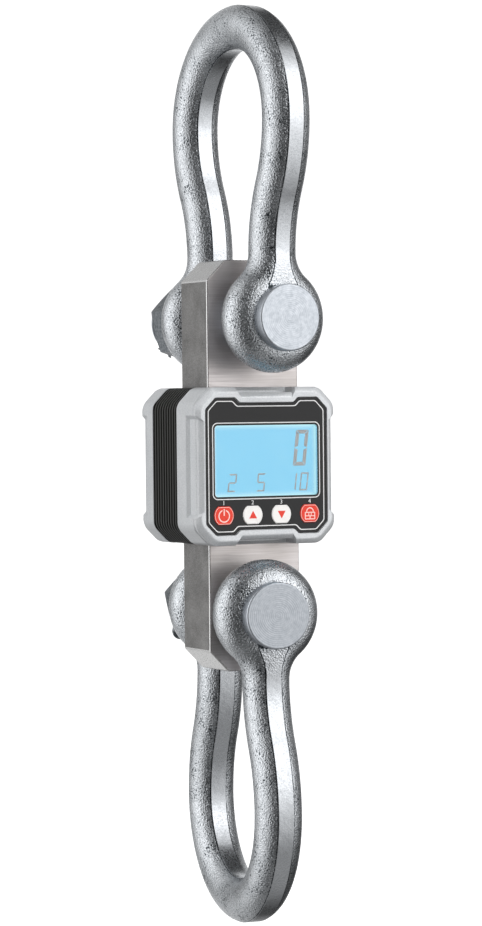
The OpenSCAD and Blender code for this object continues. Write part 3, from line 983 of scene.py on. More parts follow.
@dataclass(frozen=True)
class BrushedSteel(Finish):
    """Steel ground with a belt across the plate: fine level streaks in a warm satin grey."""

    shine: str = "#E9E3E2"
    light: str = "#D2CCCB"
    stain: str = "#C4BEBB"
    dark: str = "#A9A3A3"
    # A belt's grit cuts a tenth or two wide; drawn coarser, so that the streaks show.
    streak: float = 0.5
    streak_depth: float = 0.05
    streak_length: float = 60.0
    cloud_size: float = 26.0
    cloud_length: float = 1.6

    def pattern(self, tree: bpy.types.NodeTree, place: bpy.types.NodeSocket) -> Feeds:
        """Streaks along X over slow clouds.

        Args:
            tree: The material's nodes.
            place: The surface's place in the model, in metres.

        Returns:
            What feeds the shader's inputs.
        """
        add = partial(add_node, tree)
        drawn = 1 / self.streak_length
        level = add("Mapping", {"Vector": place, "Scale": (drawn, drawn, 1)})
        streaks = add(
            "TexNoise",
            {"Vector": level, "Scale": 1 / (self.streak * MM), "Detail": 3.0, "Roughness": 0.6},
        )
        wide = add("Mapping", {"Vector": place, "Scale": (1 / self.cloud_length, 1, 1)})
        clouds = add(
            "TexNoise",
            {"Vector": wide, "Scale": 1 / (self.cloud_size * MM), "Detail": 2.0, "Roughness": 0.5},
        )
        value = add("Math", {0: streaks, 1: 0.6, 2: clouds}, operation="MULTIPLY_ADD")
        shade = add("MapRange", {0: value, 1: 0.4, 2: 1.2, 3: 0.0, 4: 1.0})
        stops = [(0, self.dark), (0.3, self.stain), (0.55, self.light), (1, self.shine)]
        rough, fine = self.roughness + 0.07, self.roughness - 0.05
        skin = {"Height": streaks, "Distance": self.streak_depth * MM, "Strength": 0.35}
        return {
            "Base Color": add("ValToRGB", {0: shade}, stops),
            "Roughness": add("MapRange", {0: streaks, 1: 0.3, 2: 0.7, 3: rough, 4: fine}),
            "Normal": add("Bump", skin),
        }


@dataclass(frozen=True)
class LitDisplay(Finish):
    """Backlit liquid crystal display: sky blue, brighter and greener towards its edges, where the
    light comes in from the guide."""

    centre: tuple[float, float] = (0.0, 0.0)
    half: tuple[float, float] = (35.0, 21.3)
    edge: str = "#BFF6FF"
    between: str = "#93DAF7"
    middle: str = "#78D1F4"
    glass: str = "#2A3B42"
    edge_width: float = 3.2
    cloud_size: float = 30.0
    power: float = 0.88

    def pattern(self, tree: bpy.types.NodeTree, place: bpy.types.NodeSocket) -> Feeds:
        """Glow that rises towards the window's edges.

        Args:
            tree: The material's nodes.
            place: The surface's place in the model, in metres.

        Returns:
            What feeds the shader's inputs.
        """
        add = partial(add_node, tree)
        apart = add("SeparateXYZ", {0: place})
        rooms = []
        for axis, centre, half in zip("XZ", self.centre, self.half):
            off = add("Math", {0: apart.outputs[axis], 1: centre * MM}, operation="SUBTRACT")
            size = add("Math", {0: off}, operation="ABSOLUTE")
            rooms.append(add("Math", {0: half * MM, 1: size}, operation="SUBTRACT"))
        nearest = add("Math", {0: rooms[0], 1: rooms[1]}, operation="MINIMUM")
        glow = add("MapRange", {0: nearest, 1: 0.0, 2: self.edge_width * MM, 3: 0.0, 4: 1.0})
        cloud = add(
            "TexNoise",
            {
                "Vector": place,
                "Scale": 1 / (self.cloud_size * MM),
                "Detail": 1.0,
                "Roughness": 0.55,
            },
        )
        shift = add("MapRange", {0: cloud, 1: 0.2, 2: 0.8, 3: -0.12, 4: 0.12})
        value = add("Math", {0: glow, 1: shift}, operation="ADD")
        stops = [(0, self.edge), (0.55, self.between), (1, self.middle)]
        return {
            "Emission Color": add("ValToRGB", {0: value}, stops),
            "Emission Strength": self.power,
            "Base Color": linear(self.glass),
        }


@dataclass(frozen=True)
class LightTable(Finish):
    """Opal acrylic of a product table, lit from below: pale, even and matt."""

    glow: float = 0.82
    cloud_size: float = 400.0

    def pattern(self, tree: bpy.types.NodeTree, place: bpy.types.NodeSocket) -> Feeds:
        """An even glow with a trace of cloud.

        Args:
            tree: The material's nodes.
            place: The surface's place in the model, in metres.

        Returns:
            What feeds the shader's inputs.
        """
        cloud = add_node(
            tree,
            "TexNoise",
            {
                "Vector": place,
                "Scale": 1 / (self.cloud_size * MM),
                "Detail": 1.0,
                "Roughness": 0.55,
            },
        )
        opal = add_node(tree, "ValToRGB", {0: cloud}, [(0, "#F7F7F7"), (1, "#F2F2F2")])
        return {"Base Color": opal, "Emission Color": opal, "Emission Strength": self.glow}


@dataclass(frozen=True)
class ClearPane(Finish):
    """Clear acrylic pane: almost unseen but for its gloss."""

    smear_size: float = 12.0

    def pattern(self, tree: bpy.types.NodeTree, place: bpy.types.NodeSocket) -> Feeds:
        """Full transmission with a trace of tint.

        Args:
            tree: The material's nodes.
            place: The surface's place in the model, in metres.

        Returns:
            What feeds the shader's inputs.
        """
        smear = add_node(
            tree,
            "TexNoise",
            {
                "Vector": place,
                "Scale": 1 / (self.smear_size * MM),
                "Detail": 2.0,
                "Roughness": 0.55,
            },
        )
        tint = add_node(tree, "ValToRGB", {0: smear}, [(0, "#FFFFFF"), (1, "#F4FBFF")])
        return {"Transmission Weight": 1.0, "Base Color": tint}


class Finishes:
    """All finishes of the scale, each named for what it is and how its surface was made."""

    forging = GalvanisedForging("galvanised_forged_steel", metallic=1.0, roughness=0.27)
    plated = PlatedSteel("zinc_plated_steel", metallic=1.0, roughness=0.42)
    brushed = BrushedSteel("brushed_steel_plate", metallic=1.0, roughness=0.38)
    milled = MilledSteel("milled_steel_edge", metallic=1.0, roughness=0.5)
    ground = MilledSteel(
        "ground_steel_slant", metallic=1.0, roughness=0.46, light="#BDBBB9", dark="#9E9C9A"
    )
    # The broken edges are painted near white, a painted highlight for the light that their
    # roundings catch.
    arris_painted_highlight = PlatedSteel(
        "broken_steel_edge_painted_highlight", metallic=1.0, roughness=0.25, light="#F4F4F4", dark="#DCDCDC"
    )
    silver = MouldedPlastic(
        "silver_painted_abs",
        metallic=0.35,
        roughness=0.38,
        light="#DFE1E3",
        dark="#C6C9CC",
        grain_size=0.8,
        grain_depth=0.06,
    )
    nylon = MouldedPlastic(
        "black_glass_filled_nylon", roughness=0.42, light="#20211D", dark="#141512"
    )
    film = MouldedPlastic(
        "black_polyester_overlay",
        roughness=0.45,
        light="#141415",
        dark="#111112",
        grain_size=0.4,
        grain_depth=0.02,
    )
    # White print; the same finish also gives the painted highlight round the pale keys' caps.
    white_print_and_highlight = MouldedPlastic("white_screen_print_and_painted_highlight", roughness=0.6, light="#F2F2F2", dark="#E4E4E4")
    segment = MouldedPlastic("dark_lcd_segment", roughness=0.6, light="#A8A29F", dark="#9C9693")
    red_key = MouldedPlastic("red_moulded_abs", roughness=0.4, light="#EE3F28", dark="#E0351F")
    pale_key = MouldedPlastic(
        "pale_grey_moulded_abs", roughness=0.4, light="#FBF8F5", dark="#F3F0ED"
    )
    # Pale pink print; the same finish also gives the painted highlight round the red keys' caps.
    pink_print_and_highlight = MouldedPlastic("pale_pink_print_and_painted_highlight", roughness=0.5, light="#FFD9D2", dark="#FFCFC6")
    rubber = MouldedPlastic("black_epdm_rubber", roughness=0.75, light="#242424", dark="#161616")
    solder_mask = MouldedPlastic(
        "green_solder_mask", roughness=0.3, light="#2F7A4A", dark="#22603A", grain_size=1.5
    )
    cell = MouldedPlastic("shrink_sleeved_cell", roughness=0.3, light="#3A3B40", dark="#303136")
    copper = PlatedSteel(
        "nickel_plated_brass", metallic=1.0, roughness=0.35, light="#D8BE80", dark="#A88A48"
    )
    red_lead = MouldedPlastic("red_pvc_insulation", roughness=0.45, light="#B0261E", dark="#941D16")
    diffuser = MouldedPlastic(
        "white_light_guide", roughness=0.5, light="#F2F4F4", dark="#E6E9E9", grain_size=1.0
    )
    pane = ClearPane("clear_acrylic_pane", roughness=0.0, ior=1.49)

    @staticmethod
    def turned(layout: Layout, lower: bool) -> TurnedZinc:
        """The bolts' finish, centred on the upper or the lower pin.

        Args:
            layout: Where the pins are.
            lower: Whether it is for the lower bolt.

        Returns:
            The finish.
        """
        place = (layout.lower_pin if lower else layout.upper_pin).translation * MM
        return TurnedZinc(
            "turned_zinc_lower_bolt" if lower else "turned_zinc_upper_bolt",
            metallic=1.0,
            roughness=0.4,
            axis=tuple(place),
            turn=-layout.lower_yaw if lower else 0.0,
        )


# --- shackles ----------------------------------------------------------------------------------


@dataclass
class Shackle:
    """A bolt-type anchor shackle about its pin: forged bow, bolt with a round head, and nut."""

    name: str
    placement: Matrix
    bow_body: Body
    bolt_body: Body
    bolt_finish: TurnedZinc
    reach: float = 164.6
    crown_inside: float = 91.0
    rod_d: float = 29.0
    trim: float = 1.05
    waist: float = 0.285
    ear_d: float = 65.4
    neck_fillet: float = 18.0
    leg_y: float = 40.25
    bolt_d: float = 32.0
    bore_gap: float = 0.1
    seat_gap: float = 0.3
    head_d: float = 40.0
    head_h: float = 7.4
    nut_af: float = 45.0
    nut_h: float = 20.0
    nut_turn: float = 16.0
    cotter_d: float = 4.8
    cotter_tilt: float = 34.0
    thread_pitch: float = 2.6
    thread_depth: float = 0.75
    thread_start: float = 2.0
    end_reach: float = 0.9
    end_bevel: float = 1.5
    nut_slant: float = 28.0
    nut_facet: float = 1.9
    section_steps: int = 22
    ear_start: float = -85.0
    ear_steps: int = 30
    fillet_steps: int = 12
    bend_steps: int = 18
    crown_steps: int = 24

    @property
    def ear_out(self) -> float:
        """Distance from the middle to the seat of the bolt's head."""
        return self.leg_y + self.rod_d / 2 + self.seat_gap

    @property
    def nut_end(self) -> float:
        """Distance from the middle to the nut's outer face."""
        return self.ear_out + self.nut_h

    @property
    def bolt_end(self) -> float:
        """Distance from the middle to the end of the bolt."""
        return self.nut_end + 2 * self.cotter_d + self.end_reach

    def _section(
        self, y: float, z: float, lean: float, side: float, slant: float, trimmed: float
    ) -> tuple[list[Vector], list[float]]:
        """One ring round the forging.

        Args:
            y: Place of its centre line along Y.
            z: Place of its centre line along Z.
            lean: Lean of the ring in radians.
            side: Half width of the flat core.
            slant: Angle of the ear's outline there, in radians.
            trimmed: Share of the trim reached there, from 0 to 1.

        Returns:
            The ring's points, and for each how much it belongs to a trimmed strip.
        """
        # The rod is slimmer than the ear, so the trimmed strip is as narrow as it should be.
        radius = self.rod_d / 2 - self.waist * trimmed
        level = self.rod_d / 2 - self.trim * trimmed
        top = math.asin(min(level / radius, 1.0))
        steps = self.section_steps
        right: list[Vector] = []
        for k in range(steps + 1):
            a = top - 2 * top * k / steps
            out, up = radius * math.cos(a), radius * math.sin(a)
            along_outline = out * math.sin(slant)
            right.append(
                Vector(
                    (
                        side + out * math.cos(slant),
                        y + along_outline * math.sin(lean) - up * math.cos(lean),
                        z + along_outline * math.cos(lean) + up * math.sin(lean),
                    )
                )
            )
        left = [Vector((-p.x, p.y, p.z)) for p in reversed(right)]
        ends = [trimmed if k in (0, steps) else 0.0 for k in range(steps + 1)]
        return right + left, ends + ends

    def _front_half(self) -> list[tuple[list[Vector], list[float]]]:
        """Rings from the bottom of the front ear up to the top of the crown.

        Returns:
            For each ring its points and how much each belongs to a trimmed strip.
        """
        rod = self.rod_d / 2
        core = self.ear_d / 2 - rod
        crown_r = self.crown_inside / 2 + rod - self.trim
        crown_z = self.reach - self.crown_inside / 2
        fillet = rod + self.neck_fillet
        neck_z = math.sqrt((self.ear_d / 2 + self.neck_fillet) ** 2 - fillet**2)
        neck = math.atan2(neck_z, fillet)
        bend = 2 * math.atan2(crown_r - self.leg_y, crown_z - neck_z)
        bend_r = (crown_z - neck_z) / (2 * math.sin(bend))
        start = math.radians(self.ear_start)
        rings = []
        for k in range(self.ear_steps):
            a = start + (neck - start) * k / self.ear_steps
            side = core * math.cos(a)
            rings.append(self._section(-self.leg_y, core * math.sin(a), 0, side, a, 0))
        for k in range(self.fillet_steps):
            share = k / self.fillet_steps
            a = neck * (1 - share)
            z, side = neck_z - fillet * math.sin(a), fillet * (1 - math.cos(a))
            rings.append(self._section(-self.leg_y, z, 0, side, a, share))
        for k in range(self.bend_steps):
            a = bend * k / self.bend_steps
            y = -self.leg_y - bend_r * (1 - math.cos(a))
            rings.append(self._section(y, neck_z + bend_r * math.sin(a), -a, 0, 0, 1))
        for k in range(self.bend_steps):
            a = bend * (1 - k / self.bend_steps)
            y = -crown_r + bend_r * (1 - math.cos(a))
            rings.append(self._section(y, crown_z - bend_r * math.sin(a), -a, 0, 0, 1))
        for k in range(self.crown_steps + 1):
            a = math.pi / 2 * k / self.crown_steps
            y, z = -crown_r * math.cos(a), crown_z + crown_r * math.sin(a)
            rings.append(self._section(y, z, a, 0, 0, 1))
        return rings

    def build_bow(self) -> Workpiece:
        """The forged bow, lofted along its own centre line and bored for the bolt.

        Returns:
            The bow about its pin.
        """
        front = self._front_half()
        rear = [([Vector((p.x, -p.y, p.z)) for p in ring], mask) for ring, mask in front[-2::-1]]
        rings = front + rear
        count = len(rings[0][0])
        half = count // 2
        last = (len(rings) - 1) * count
        faces = []
        for start in range(0, last, count):
            for j in range(count):
                near, far = start + j, start + (j + 1) % count
                faces.append((near, near + count, far + count, far))
        for j in range(half - 1):
            strip = (j, j + 1, count - 2 - j, count - 1 - j)
            faces.append(strip)
            faces.append(tuple(last + k for k in reversed(strip)))
        bow = Workpiece.lofted(self.name + "_bow", [p for ring, _ in rings for p in ring], faces)
        trimmed = bow.obj.data.attributes.new("trimmed", "FLOAT", "POINT")
        # The strip attribute marks where a painted shade line runs along the trimmed strips' edges.
        strip = bow.obj.data.attributes.new("strip", "FLOAT", "POINT")
        for index, value in enumerate(v for _, marks in rings for v in marks):
            trimmed.data[index].value = value
            strip.data[index].value = min(4 * value, 1.0)
        bow.tidy()
        reach = self.ear_out + 5
        bow.cut(Workpiece.bar("bore", -reach, reach, self.bolt_d / 2 + self.bore_gap, 96))
        return bow.smooth(18)

    def build_bolt(self) -> Workpiece:
        """The bolt: a disc drawn out to head, shank and thread, then drilled for the split pin.

        Returns:
            The bolt about its pin.
        """
        shank = self.bolt_d / 2
        head = self.head_d / 2
        thread = self.thread_depth
        # The head's front edge is a small slant with a rounding on each side.
        steps = [(0.25, -0.45), (0.55, -0.35), (self.head_h - 1.4, 0.0), (0.35, 0.15), (0.25, 0.35)]
        bolt = Workpiece.disc(self.name + "_bolt", -self.ear_out - self.head_h, head - 0.8)
        back = facing("Y", -1, -2.0)
        bolt.draw_out(back, steps, self.head_d - 1.6)
        bolt.draw_out(self._end_face(bolt), [(0.0, head - 0.5 - shank)], self.head_d - 1.0)
        plain = self.nut_end - self.thread_start + self.ear_out
        bolt.draw_out(self._end_face(bolt), [(plain, 0.0)], 2 * shank)
        crests = int((self.bolt_end - self.nut_end) / self.thread_pitch)
        pitch = self.thread_pitch / 4
        turns = [(pitch, thread), (pitch, 0.0), (pitch, -thread), (pitch, 0.0)] * crests
        bolt.draw_out(self._end_face(bolt), turns, 2 * shank)
        bevel = self.end_bevel
        room = self.bolt_end - self._end_place(bolt) - bevel
        bolt.draw_out(self._end_face(bolt), [(room, 0.0), (bevel, bevel)], 2 * shank)
        bolt.tidy()
        hole = Workpiece.bar("drill", -shank - 3, shank + 3, self.cotter_d / 2 + 0.3, 32)
        hole.place(
            Matrix.Translation((0, self.nut_end + self.cotter_d, 0))
            @ Matrix.Rotation(math.radians(self.cotter_tilt), 4, "Y")
            @ Matrix.Rotation(math.pi / 2, 4, "X")
        )
        return bolt.cut(hole).smooth(28)

    @staticmethod
    def _end_place(piece: Workpiece) -> float:
        """How far back along Y the piece reaches."""
        return max(v.co.y for v in piece.obj.data.vertices)

    def _end_face(self, piece: Workpiece) -> PointTest:
        """Test for the rearmost face."""
        reach = self._end_place(piece) - NEAR
        return lambda centre, normal: centre.y > reach and abs(normal.y) > 0.9

    def build_nut(self) -> Workpiece:
        """The nut: a hexagonal bar within a chamfering cone, bored and broken at its edges.

        Returns:
            The nut about its pin.
        """
        corner = self.nut_af / 2 / math.cos(math.pi / 6)
        slope = (corner + 1.5 - self.nut_af / 2) * math.tan(math.radians(self.nut_slant))
        widen = self.nut_facet + corner - self.nut_af / 2
        nut = Workpiece.bar(self.name + "_nut", self.ear_out, self.nut_end, corner, 6)
        nut.place(Matrix.Rotation(math.radians(self.nut_turn + 30), 4, "Y"))
        cone = Workpiece.disc("cone", self.ear_out, self.nut_af / 2 - 0.4)
        steps = [(slope, -widen), (self.nut_h - 2 * slope, 0.0), (slope, widen)]
        cone.draw_out(facing("Y", -1, -2.0), steps, self.nut_af - 0.8)
        nut.keep_within(cone.tidy())
        inside = self.bolt_d / 2 + self.bore_gap
        nut.cut(Workpiece.bar("bore", self.ear_out - 2, self.nut_end + 2, inside, 96))
        sink = Workpiece.disc("sink", self.nut_end - 1.4, inside)
        sink.draw_out(facing("Y", -1, -2.0), [(1.6, -1.6)], 2 * inside)
        nut.cut(sink.tidy())
        return nut.soften(0.35, 2, 30).smooth(30)

    def build_split_pin(self) -> Workpiece:
        """The split pin: a folded wire with its eye above and two legs spread below.

        Returns:
            The split pin about its bolt's pin.
        """
        wire = self.cotter_d / 4
        reach = self.bolt_d / 2 + 2
        eye = self.cotter_d * 0.85
        loop = Workpiece.ring(
            self.name + "_cotter", (0, 0, reach + eye), eye, wire * 1.1, segments=(40, 12)
        )
        for side in (-1, 1):
            leg = Workpiece.bar("leg", -reach, reach, wire, 16)
            upright = Matrix.Rotation(-math.pi / 2, 4, "X")
            leg.place(Matrix.Translation((side * wire * 0.98, 0, 0)) @ upright)
            spread = [(side * 0.22 * (k + 1), 0, -0.9) for k in range(5)]
            leg.splay(facing("Z", -1), spread).soften(0.4, 2, 50)
            loop.join(leg)
        loop.place(
            Matrix.Translation((0, self.nut_end + self.cotter_d, 0))
            @ Matrix.Rotation(math.radians(self.cotter_tilt), 4, "Y")
        )
        return loop.smooth(40)

    def dress(self) -> None:
        """Builds the pieces and hangs them on their bodies."""
        plated, zinc = Finishes.plated.material(), self.bolt_finish.material()
        forging = Finishes.forging.material()
        for build, body, material, slot, part in (
            (self.build_bow, self.bow_body, forging, "forged_steel", "bow"),
            (self.build_bolt, self.bolt_body, zinc, "bolt_steel", "bolt"),
            (self.build_nut, self.bolt_body, plated, "nut_steel", "nut"),
            (self.build_split_pin, self.bolt_body, plated, "nut_steel", "cotter"),
        ):
            build().deliver(body, material, slot, self.placement, [f"{self.name}_{part}"])


# --- load plate --------------------------------------------------------------------------------


@dataclass
class LoadPlate:
    """The load cell's body: a steel bar with slanted ends and broken edges."""

    placement: Matrix
    width: float = 62.0
    thickness: float = 34.5
    pin_spacing: float = 177.0
    end: float = 36.0
    corner_w: float = 16.0
    corner_h: float = 12.4
    upper_hole: tuple[float, float] = (85.8, 18.8)
    lower_hole: tuple[float, float] = (-88.6, 18.8)
    pocket_d: float = 34.0
    web: float = 9.5
    broken_edge: float = 0.9

    def build(self) -> Workpiece:
        """The plate with its slanted ends, pin holes and gauge pockets.

        Returns:
            The plate about its middle.
        """
        x, y, z = self.width / 2, self.thickness / 2, self.pin_spacing / 2 + self.end
        plate = Workpiece.block("load_plate_body", (-x, -y, -z), (x, y, z))
        for sx in (-1, 1):
            for sz in (-1, 1):
                foot = (sx * x, 0, sz * (z - self.corner_h))
                plate.slice_off(foot, (sx * self.corner_h, 0, sz * self.corner_w))
        plate.tidy()
        plate.bevel_edges(
            lambda middle, direction: abs(abs(middle.y) - y) < NEAR or abs(direction.y) > 0.99,
            self.broken_edge,
            3,
        )
        for place, radius in (self.upper_hole, self.lower_hole):
            plate.cut(Workpiece.bar("bore", -y - 5, y + 5, radius, 96, (0, place)))
        for side in (-1, 1):
            near, far = sorted((side * self.web / 2, side * (y + 5)))
            plate.cut(Workpiece.bar("pocket", near, far, self.pocket_d / 2, 64))
        return plate.smooth(32)

    def dress(self) -> None:
        """Gives the faces, the edges and the broken arrises their own finish; the arrises'
        near-white finish is a painted highlight.
        """
        plate = self.build()
        data = plate.obj.data
        for finish in (Finishes.brushed, Finishes.milled, Finishes.arris_painted_highlight, Finishes.ground):
            data.materials.append(finish.material())
        slant = Vector((self.corner_h, self.corner_w)).normalized()
        for face in data.polygons:
            across, depth, up = (abs(c) for c in face.normal)
            reach = math.hypot(face.center.x, face.center.z)
            if depth > 0.95 or reach < self.width / 2 - 1:
                face.material_index = 0
            elif max(across, up) > 0.99:
                face.material_index = 1
            elif slant.dot((across, up)) > 0.995:
                face.material_index = 3
            else:
                # The rest are the broken arrises, whose near-white finish is a painted highlight.
                face.material_index = 2
        plate.deliver(
            Body.LOAD_CELL,
            Finishes.brushed.material(),
            "plate_steel",
            self.placement,
            ["load_plate"],
        )


# --- housing -----------------------------------------------------------------------------------


@dataclass
class Housing:
    """The three shells clamped round the plate: bezel, ribbed sleeve and rear cover."""

    placement: Matrix
    size: float = 95.0
    corner: float = 10.5
    corner_round: float = 5.0
    front: float = -34.45
    rear: float = 40.75
    bezel_depth: float = 26.6
    cover_depth: float = 16.0
    guard_depth: float = 12.6
    side_recess: float = 2.0
    end_recess: float = 3.2
    side_recess_l: float = 57.0
    end_recess_l: float = 37.0
    slope: float = 3.0
    step_slope: float = 2.3
    groove: float = 0.9
    groove_slant: float = 0.72
    rim: tuple[tuple[float, float], ...] = ((-1.7, 0.0), (-0.5, 0.35), (-1.6, 2.0), (-0.4, 1.15))
    cover_rim: tuple[tuple[float, float], ...] = ((0.9, 0.35), (0.75, 0.75), (0.35, 0.9))
    edge_round: float = 0.45
    cover_round: float = 0.4
    wall: float = 3.0
    gasket: float = 0.8
    rib_pitch: float = 3.3
    rib_height: float = 1.0
    rib_crest: float = 0.3
    rib_inset: float = 0.2
    rib_depth: float = 1.7
    rib_round: float = 0.6
    post_r: float = 4.6
    well_round: float = 3.0
    plate_w: float = 62.0
    plate_t: float = 34.5
    seal: float = 2.5
    panel_w: float = 83.6
    panel_h: float = 83.0
    panel_cut: float = 7.0
    panel_notch: float = 3.0
    panel_depth: float = 1.6
    face_wall: float = 2.2
    window: tuple[float, float, float] = (70.2, 42.8, 3.2)
    window_round: float = 2.0
    key_xs: tuple[float, ...] = (-29.4, -9.8, 9.8, 29.4)
    key_z: float = -29.4
    key_hole: tuple[float, float] = (13.5, 11.2)
    screw: tuple[float, float] = (38.9, 37.5)
    screw_shank: float = 2.0
    screw_head: float = 3.4
    screw_sink: float = 5.2
    door: tuple[float, float] = (34.75, 25.95)
    door_t: float = 1.6
    door_round: float = 2.9
    door_screw: float = 3.2
    door_screw_shank: float = 1.25
    door_screw_head: float = 2.5
    door_screw_sink: float = 0.8
    bore_gap: float = 0.1

    @property
    def bezel_back(self) -> float:
        """Where the bezel meets the front gasket."""
        return self.front + self.bezel_depth

    @property
    def cover_front(self) -> float:
        """Where the rear cover meets the rear gasket."""
        return self.rear - self.cover_depth

    def slab(self, name: str, y0: float, y1: float, inset: float = 0.0) -> Workpiece:
        """A slab with the housing's outline.

        Args:
            name: Name of the object.
            y0: Its front.
            y1: Its back.
            inset: How much smaller it is on every side.

        Returns:
            The slab.
        """
        half = self.size / 2 - inset
        piece = Workpiece.block(name, (-half, y0, -half), (half, y1, half))
        slanted = self.corner - inset * (2 - math.sqrt(2))
        piece.bevel_edges(along("Y"), slanted, 1)
        # An edge of the slanted corner turns by 45 degrees, which sets the rounding's width.
        rounding = self.corner_round * math.tan(math.pi / 8) * 1.6
        return piece.bevel_edges(along("Y"), rounding, 5)

    def recess_tools(self, y0: float, y1: float) -> list[Workpiece]:
        """Cutters for the sunk stretches between the corner guards.

        Args:
            y0: Their front.
            y1: Their back.

        Returns:
            Four cutters with slanted ends.
        """
        half = self.size / 2
        tools = []
        for side in (-1, 1):
            for length, depth, axis in (
                (self.side_recess_l, self.side_recess, 0),
                (self.end_recess_l, self.end_recess, 2),
            ):
                reach = length / 2 + self.step_slope * (1 + 2 / depth)
                low, high = [0.0, y0, 0.0], [0.0, y1, 0.0]
                low[axis], high[axis] = sorted((side * (half - depth), side * (half + 2)))
                low[2 - axis], high[2 - axis] = -reach, reach
                tool = Workpiece.block("recess", low, high)
                factor = [1.0, 1.0, 1.0]
                factor[2 - axis] = length / 2 / reach
                tools.append(tool.slant(facing("XYZ"[axis], -side), factor))
        return tools

    def panel_prism(self, name: str, y0: float, y1: float, inset: float = 0.0) -> Workpiece:
        """A prism with the face panel's outline: slanted corners and a notch above and below.

        Args:
            name: Name of the object.
            y0: Its front.
            y1: Its back.
            inset: How much smaller it is on every side.

        Returns:
            The prism.
        """
        x, z = self.panel_w / 2 - inset, self.panel_h / 2 - inset
        piece = Workpiece.block(name, (-x, y0, -z), (x, y1, z))
        piece.bevel_edges(along("Y"), self.panel_cut - inset * (2 - math.sqrt(2)), 1)
        for side in (-1, 1):
            depth = self.panel_notch
            half = self.end_recess_l / 2 + inset * 0.6
            reach = half + self.slope * (1 + 4 / depth)
            low, high = sorted((side * (z - depth), side * (z + 4)))
            tool = Workpiece.block("notch", (-reach, y0 - 2, low), (reach, y1 + 2, high))
            piece.cut(tool.slant(facing("Z", -side), (half / reach, 1, 1)))
        return piece.bevel_edges(along("Y"), 0.9, 3)

    def window_prism(
        self, name: str, y0: float, y1: float, grow: float, radius: float
    ) -> Workpiece:
        """A prism with the window's outline.

        Args:
            name: Name of the object.
            y0: Its front.
            y1: Its back.
            grow: How much larger it is on every side.
            radius: Radius of its corners.

        Returns:
            The prism.
        """
        w, h, rise = self.window
        x, z = w / 2 + grow, h / 2 + grow
        piece = Workpiece.block(name, (-x, y0, rise - z), (x, y1, rise + z))
        return piece.bevel_edges(along("Y"), radius, 6)

    def key_prism(self, name: str, index: int, y0: float, y1: float, grow: float) -> Workpiece:
        """A round bar with its top and bottom cut flat, as a key or its hole.

        Args:
            name: Name of the object.
            index: Which key, from the left.
            y0: Its front.
            y1: Its back.
            grow: How much larger than the key hole it is on every side.

        Returns:
            The prism.
        """
        centre = (self.key_xs[index], self.key_z)
        piece = Workpiece.bar(name, y0, y1, self.key_hole[0] / 2 + grow, 72, centre)
        for side in (-1, 1):
            height = self.key_z + side * (self.key_hole[1] / 2 + grow)
            piece.slice_off((0, 0, height), (0, 0, side))
        return piece

    def passage(self, y0: float, y1: float) -> Workpiece:
        """Cutter for the plate's way through the top and bottom walls."""
        x = self.plate_w / 2 + self.seal
        return Workpiece.block("passage", (-x, y0, -self.size), (x, y1, self.size))

    def build_bezel(self) -> Workpiece:
        """The front shell: back band, grooved corner guards, rounded rim and sunk face.

        Returns:
            The bezel.
        """
        guard_back = self.front + self.guard_depth
        band = self.slab("front_bezel_shell", guard_back, self.bezel_back)
        slope = self.side_recess
        band.bevel_edges(rim_edges(guard_back, -1), slope)
        # A groove runs round the guards, then the rim slants in to the face.
        slant = self.groove_slant
        profile = [(-self.groove, slant), (-self.groove, -slant), *self.rim]
        guard_front = self.front - sum(advance for advance, _ in profile)
        guards = self.slab("guards", guard_front, guard_back + slope + 1.0)
        guards.cut(*self.recess_tools(guard_front - 2, guard_back + slope + 3))
        guards.draw_out(facing("Y", -1), profile, self.size)
        shell = band.fuse(guards.tidy())
        face_back = self.front + self.panel_depth + self.face_wall
        beyond = face_back + 8
        shell.cut(
            self.slab("hollow", face_back, self.rear, self.wall + 2),
            self.panel_prism("sunk_face", self.front - 3, self.front + self.panel_depth),
            self.window_prism("window_hole", self.front, beyond, 0.0, self.window_round),
        )
        for index in range(len(self.key_xs)):
            shell.cut(self.key_prism("key_hole", index, self.front, beyond, 0.0))
        seal_front = -self.plate_t / 2 - self.seal
        shell.cut(self.passage(seal_front, self.rear))
        return shell.tidy().soften(self.edge_round, 2, 24).smooth(32)

    def build_sleeve(self) -> Workpiece:
        """The black sleeve: one rib modelled, copied along the depth over a smooth core.

        Returns:
            The sleeve.
        """
        y0 = self.bezel_back + self.gasket
        y1 = self.cover_front - self.gasket
        core = self.slab("ribbed_sleeve_shell", y0, y1, self.rib_height + 0.4)
        core.cut(self.slab("hollow", y0 - 2, y1 + 2, self.wall))
        seal_back = self.plate_t / 2 + self.seal
        core.cut(self.passage(y0 - 5, seal_back))
        count = int((y1 - y0 - self.rib_pitch * 0.4) / self.rib_pitch) + 1
        first = y0 + (y1 - y0 - (count - 1) * self.rib_pitch) / 2
        crest = self.rib_pitch * self.rib_crest
        rib = self.slab("rib", first - crest, first + crest, self.rib_inset)
        rib.cut(self.slab("hollow", first - 5, first + 5, self.rib_inset + self.rib_depth))
        rib.tidy().soften(self.rib_round, 3, 40)
        open_rib = rib.copy("open_rib").cut(self.passage(first - 5, first + 5))
        ribs = []
        for index in range(count):
            beside_plate = first + crest + index * self.rib_pitch < seal_back
            pattern = open_rib if beside_plate else rib
            step = Matrix.Translation((0, index * self.rib_pitch, 0))
            ribs.append(pattern.copy("rib").place(step))
        rib.discard()
        open_rib.discard()
        return core.tidy().join(*ribs).smooth(35)

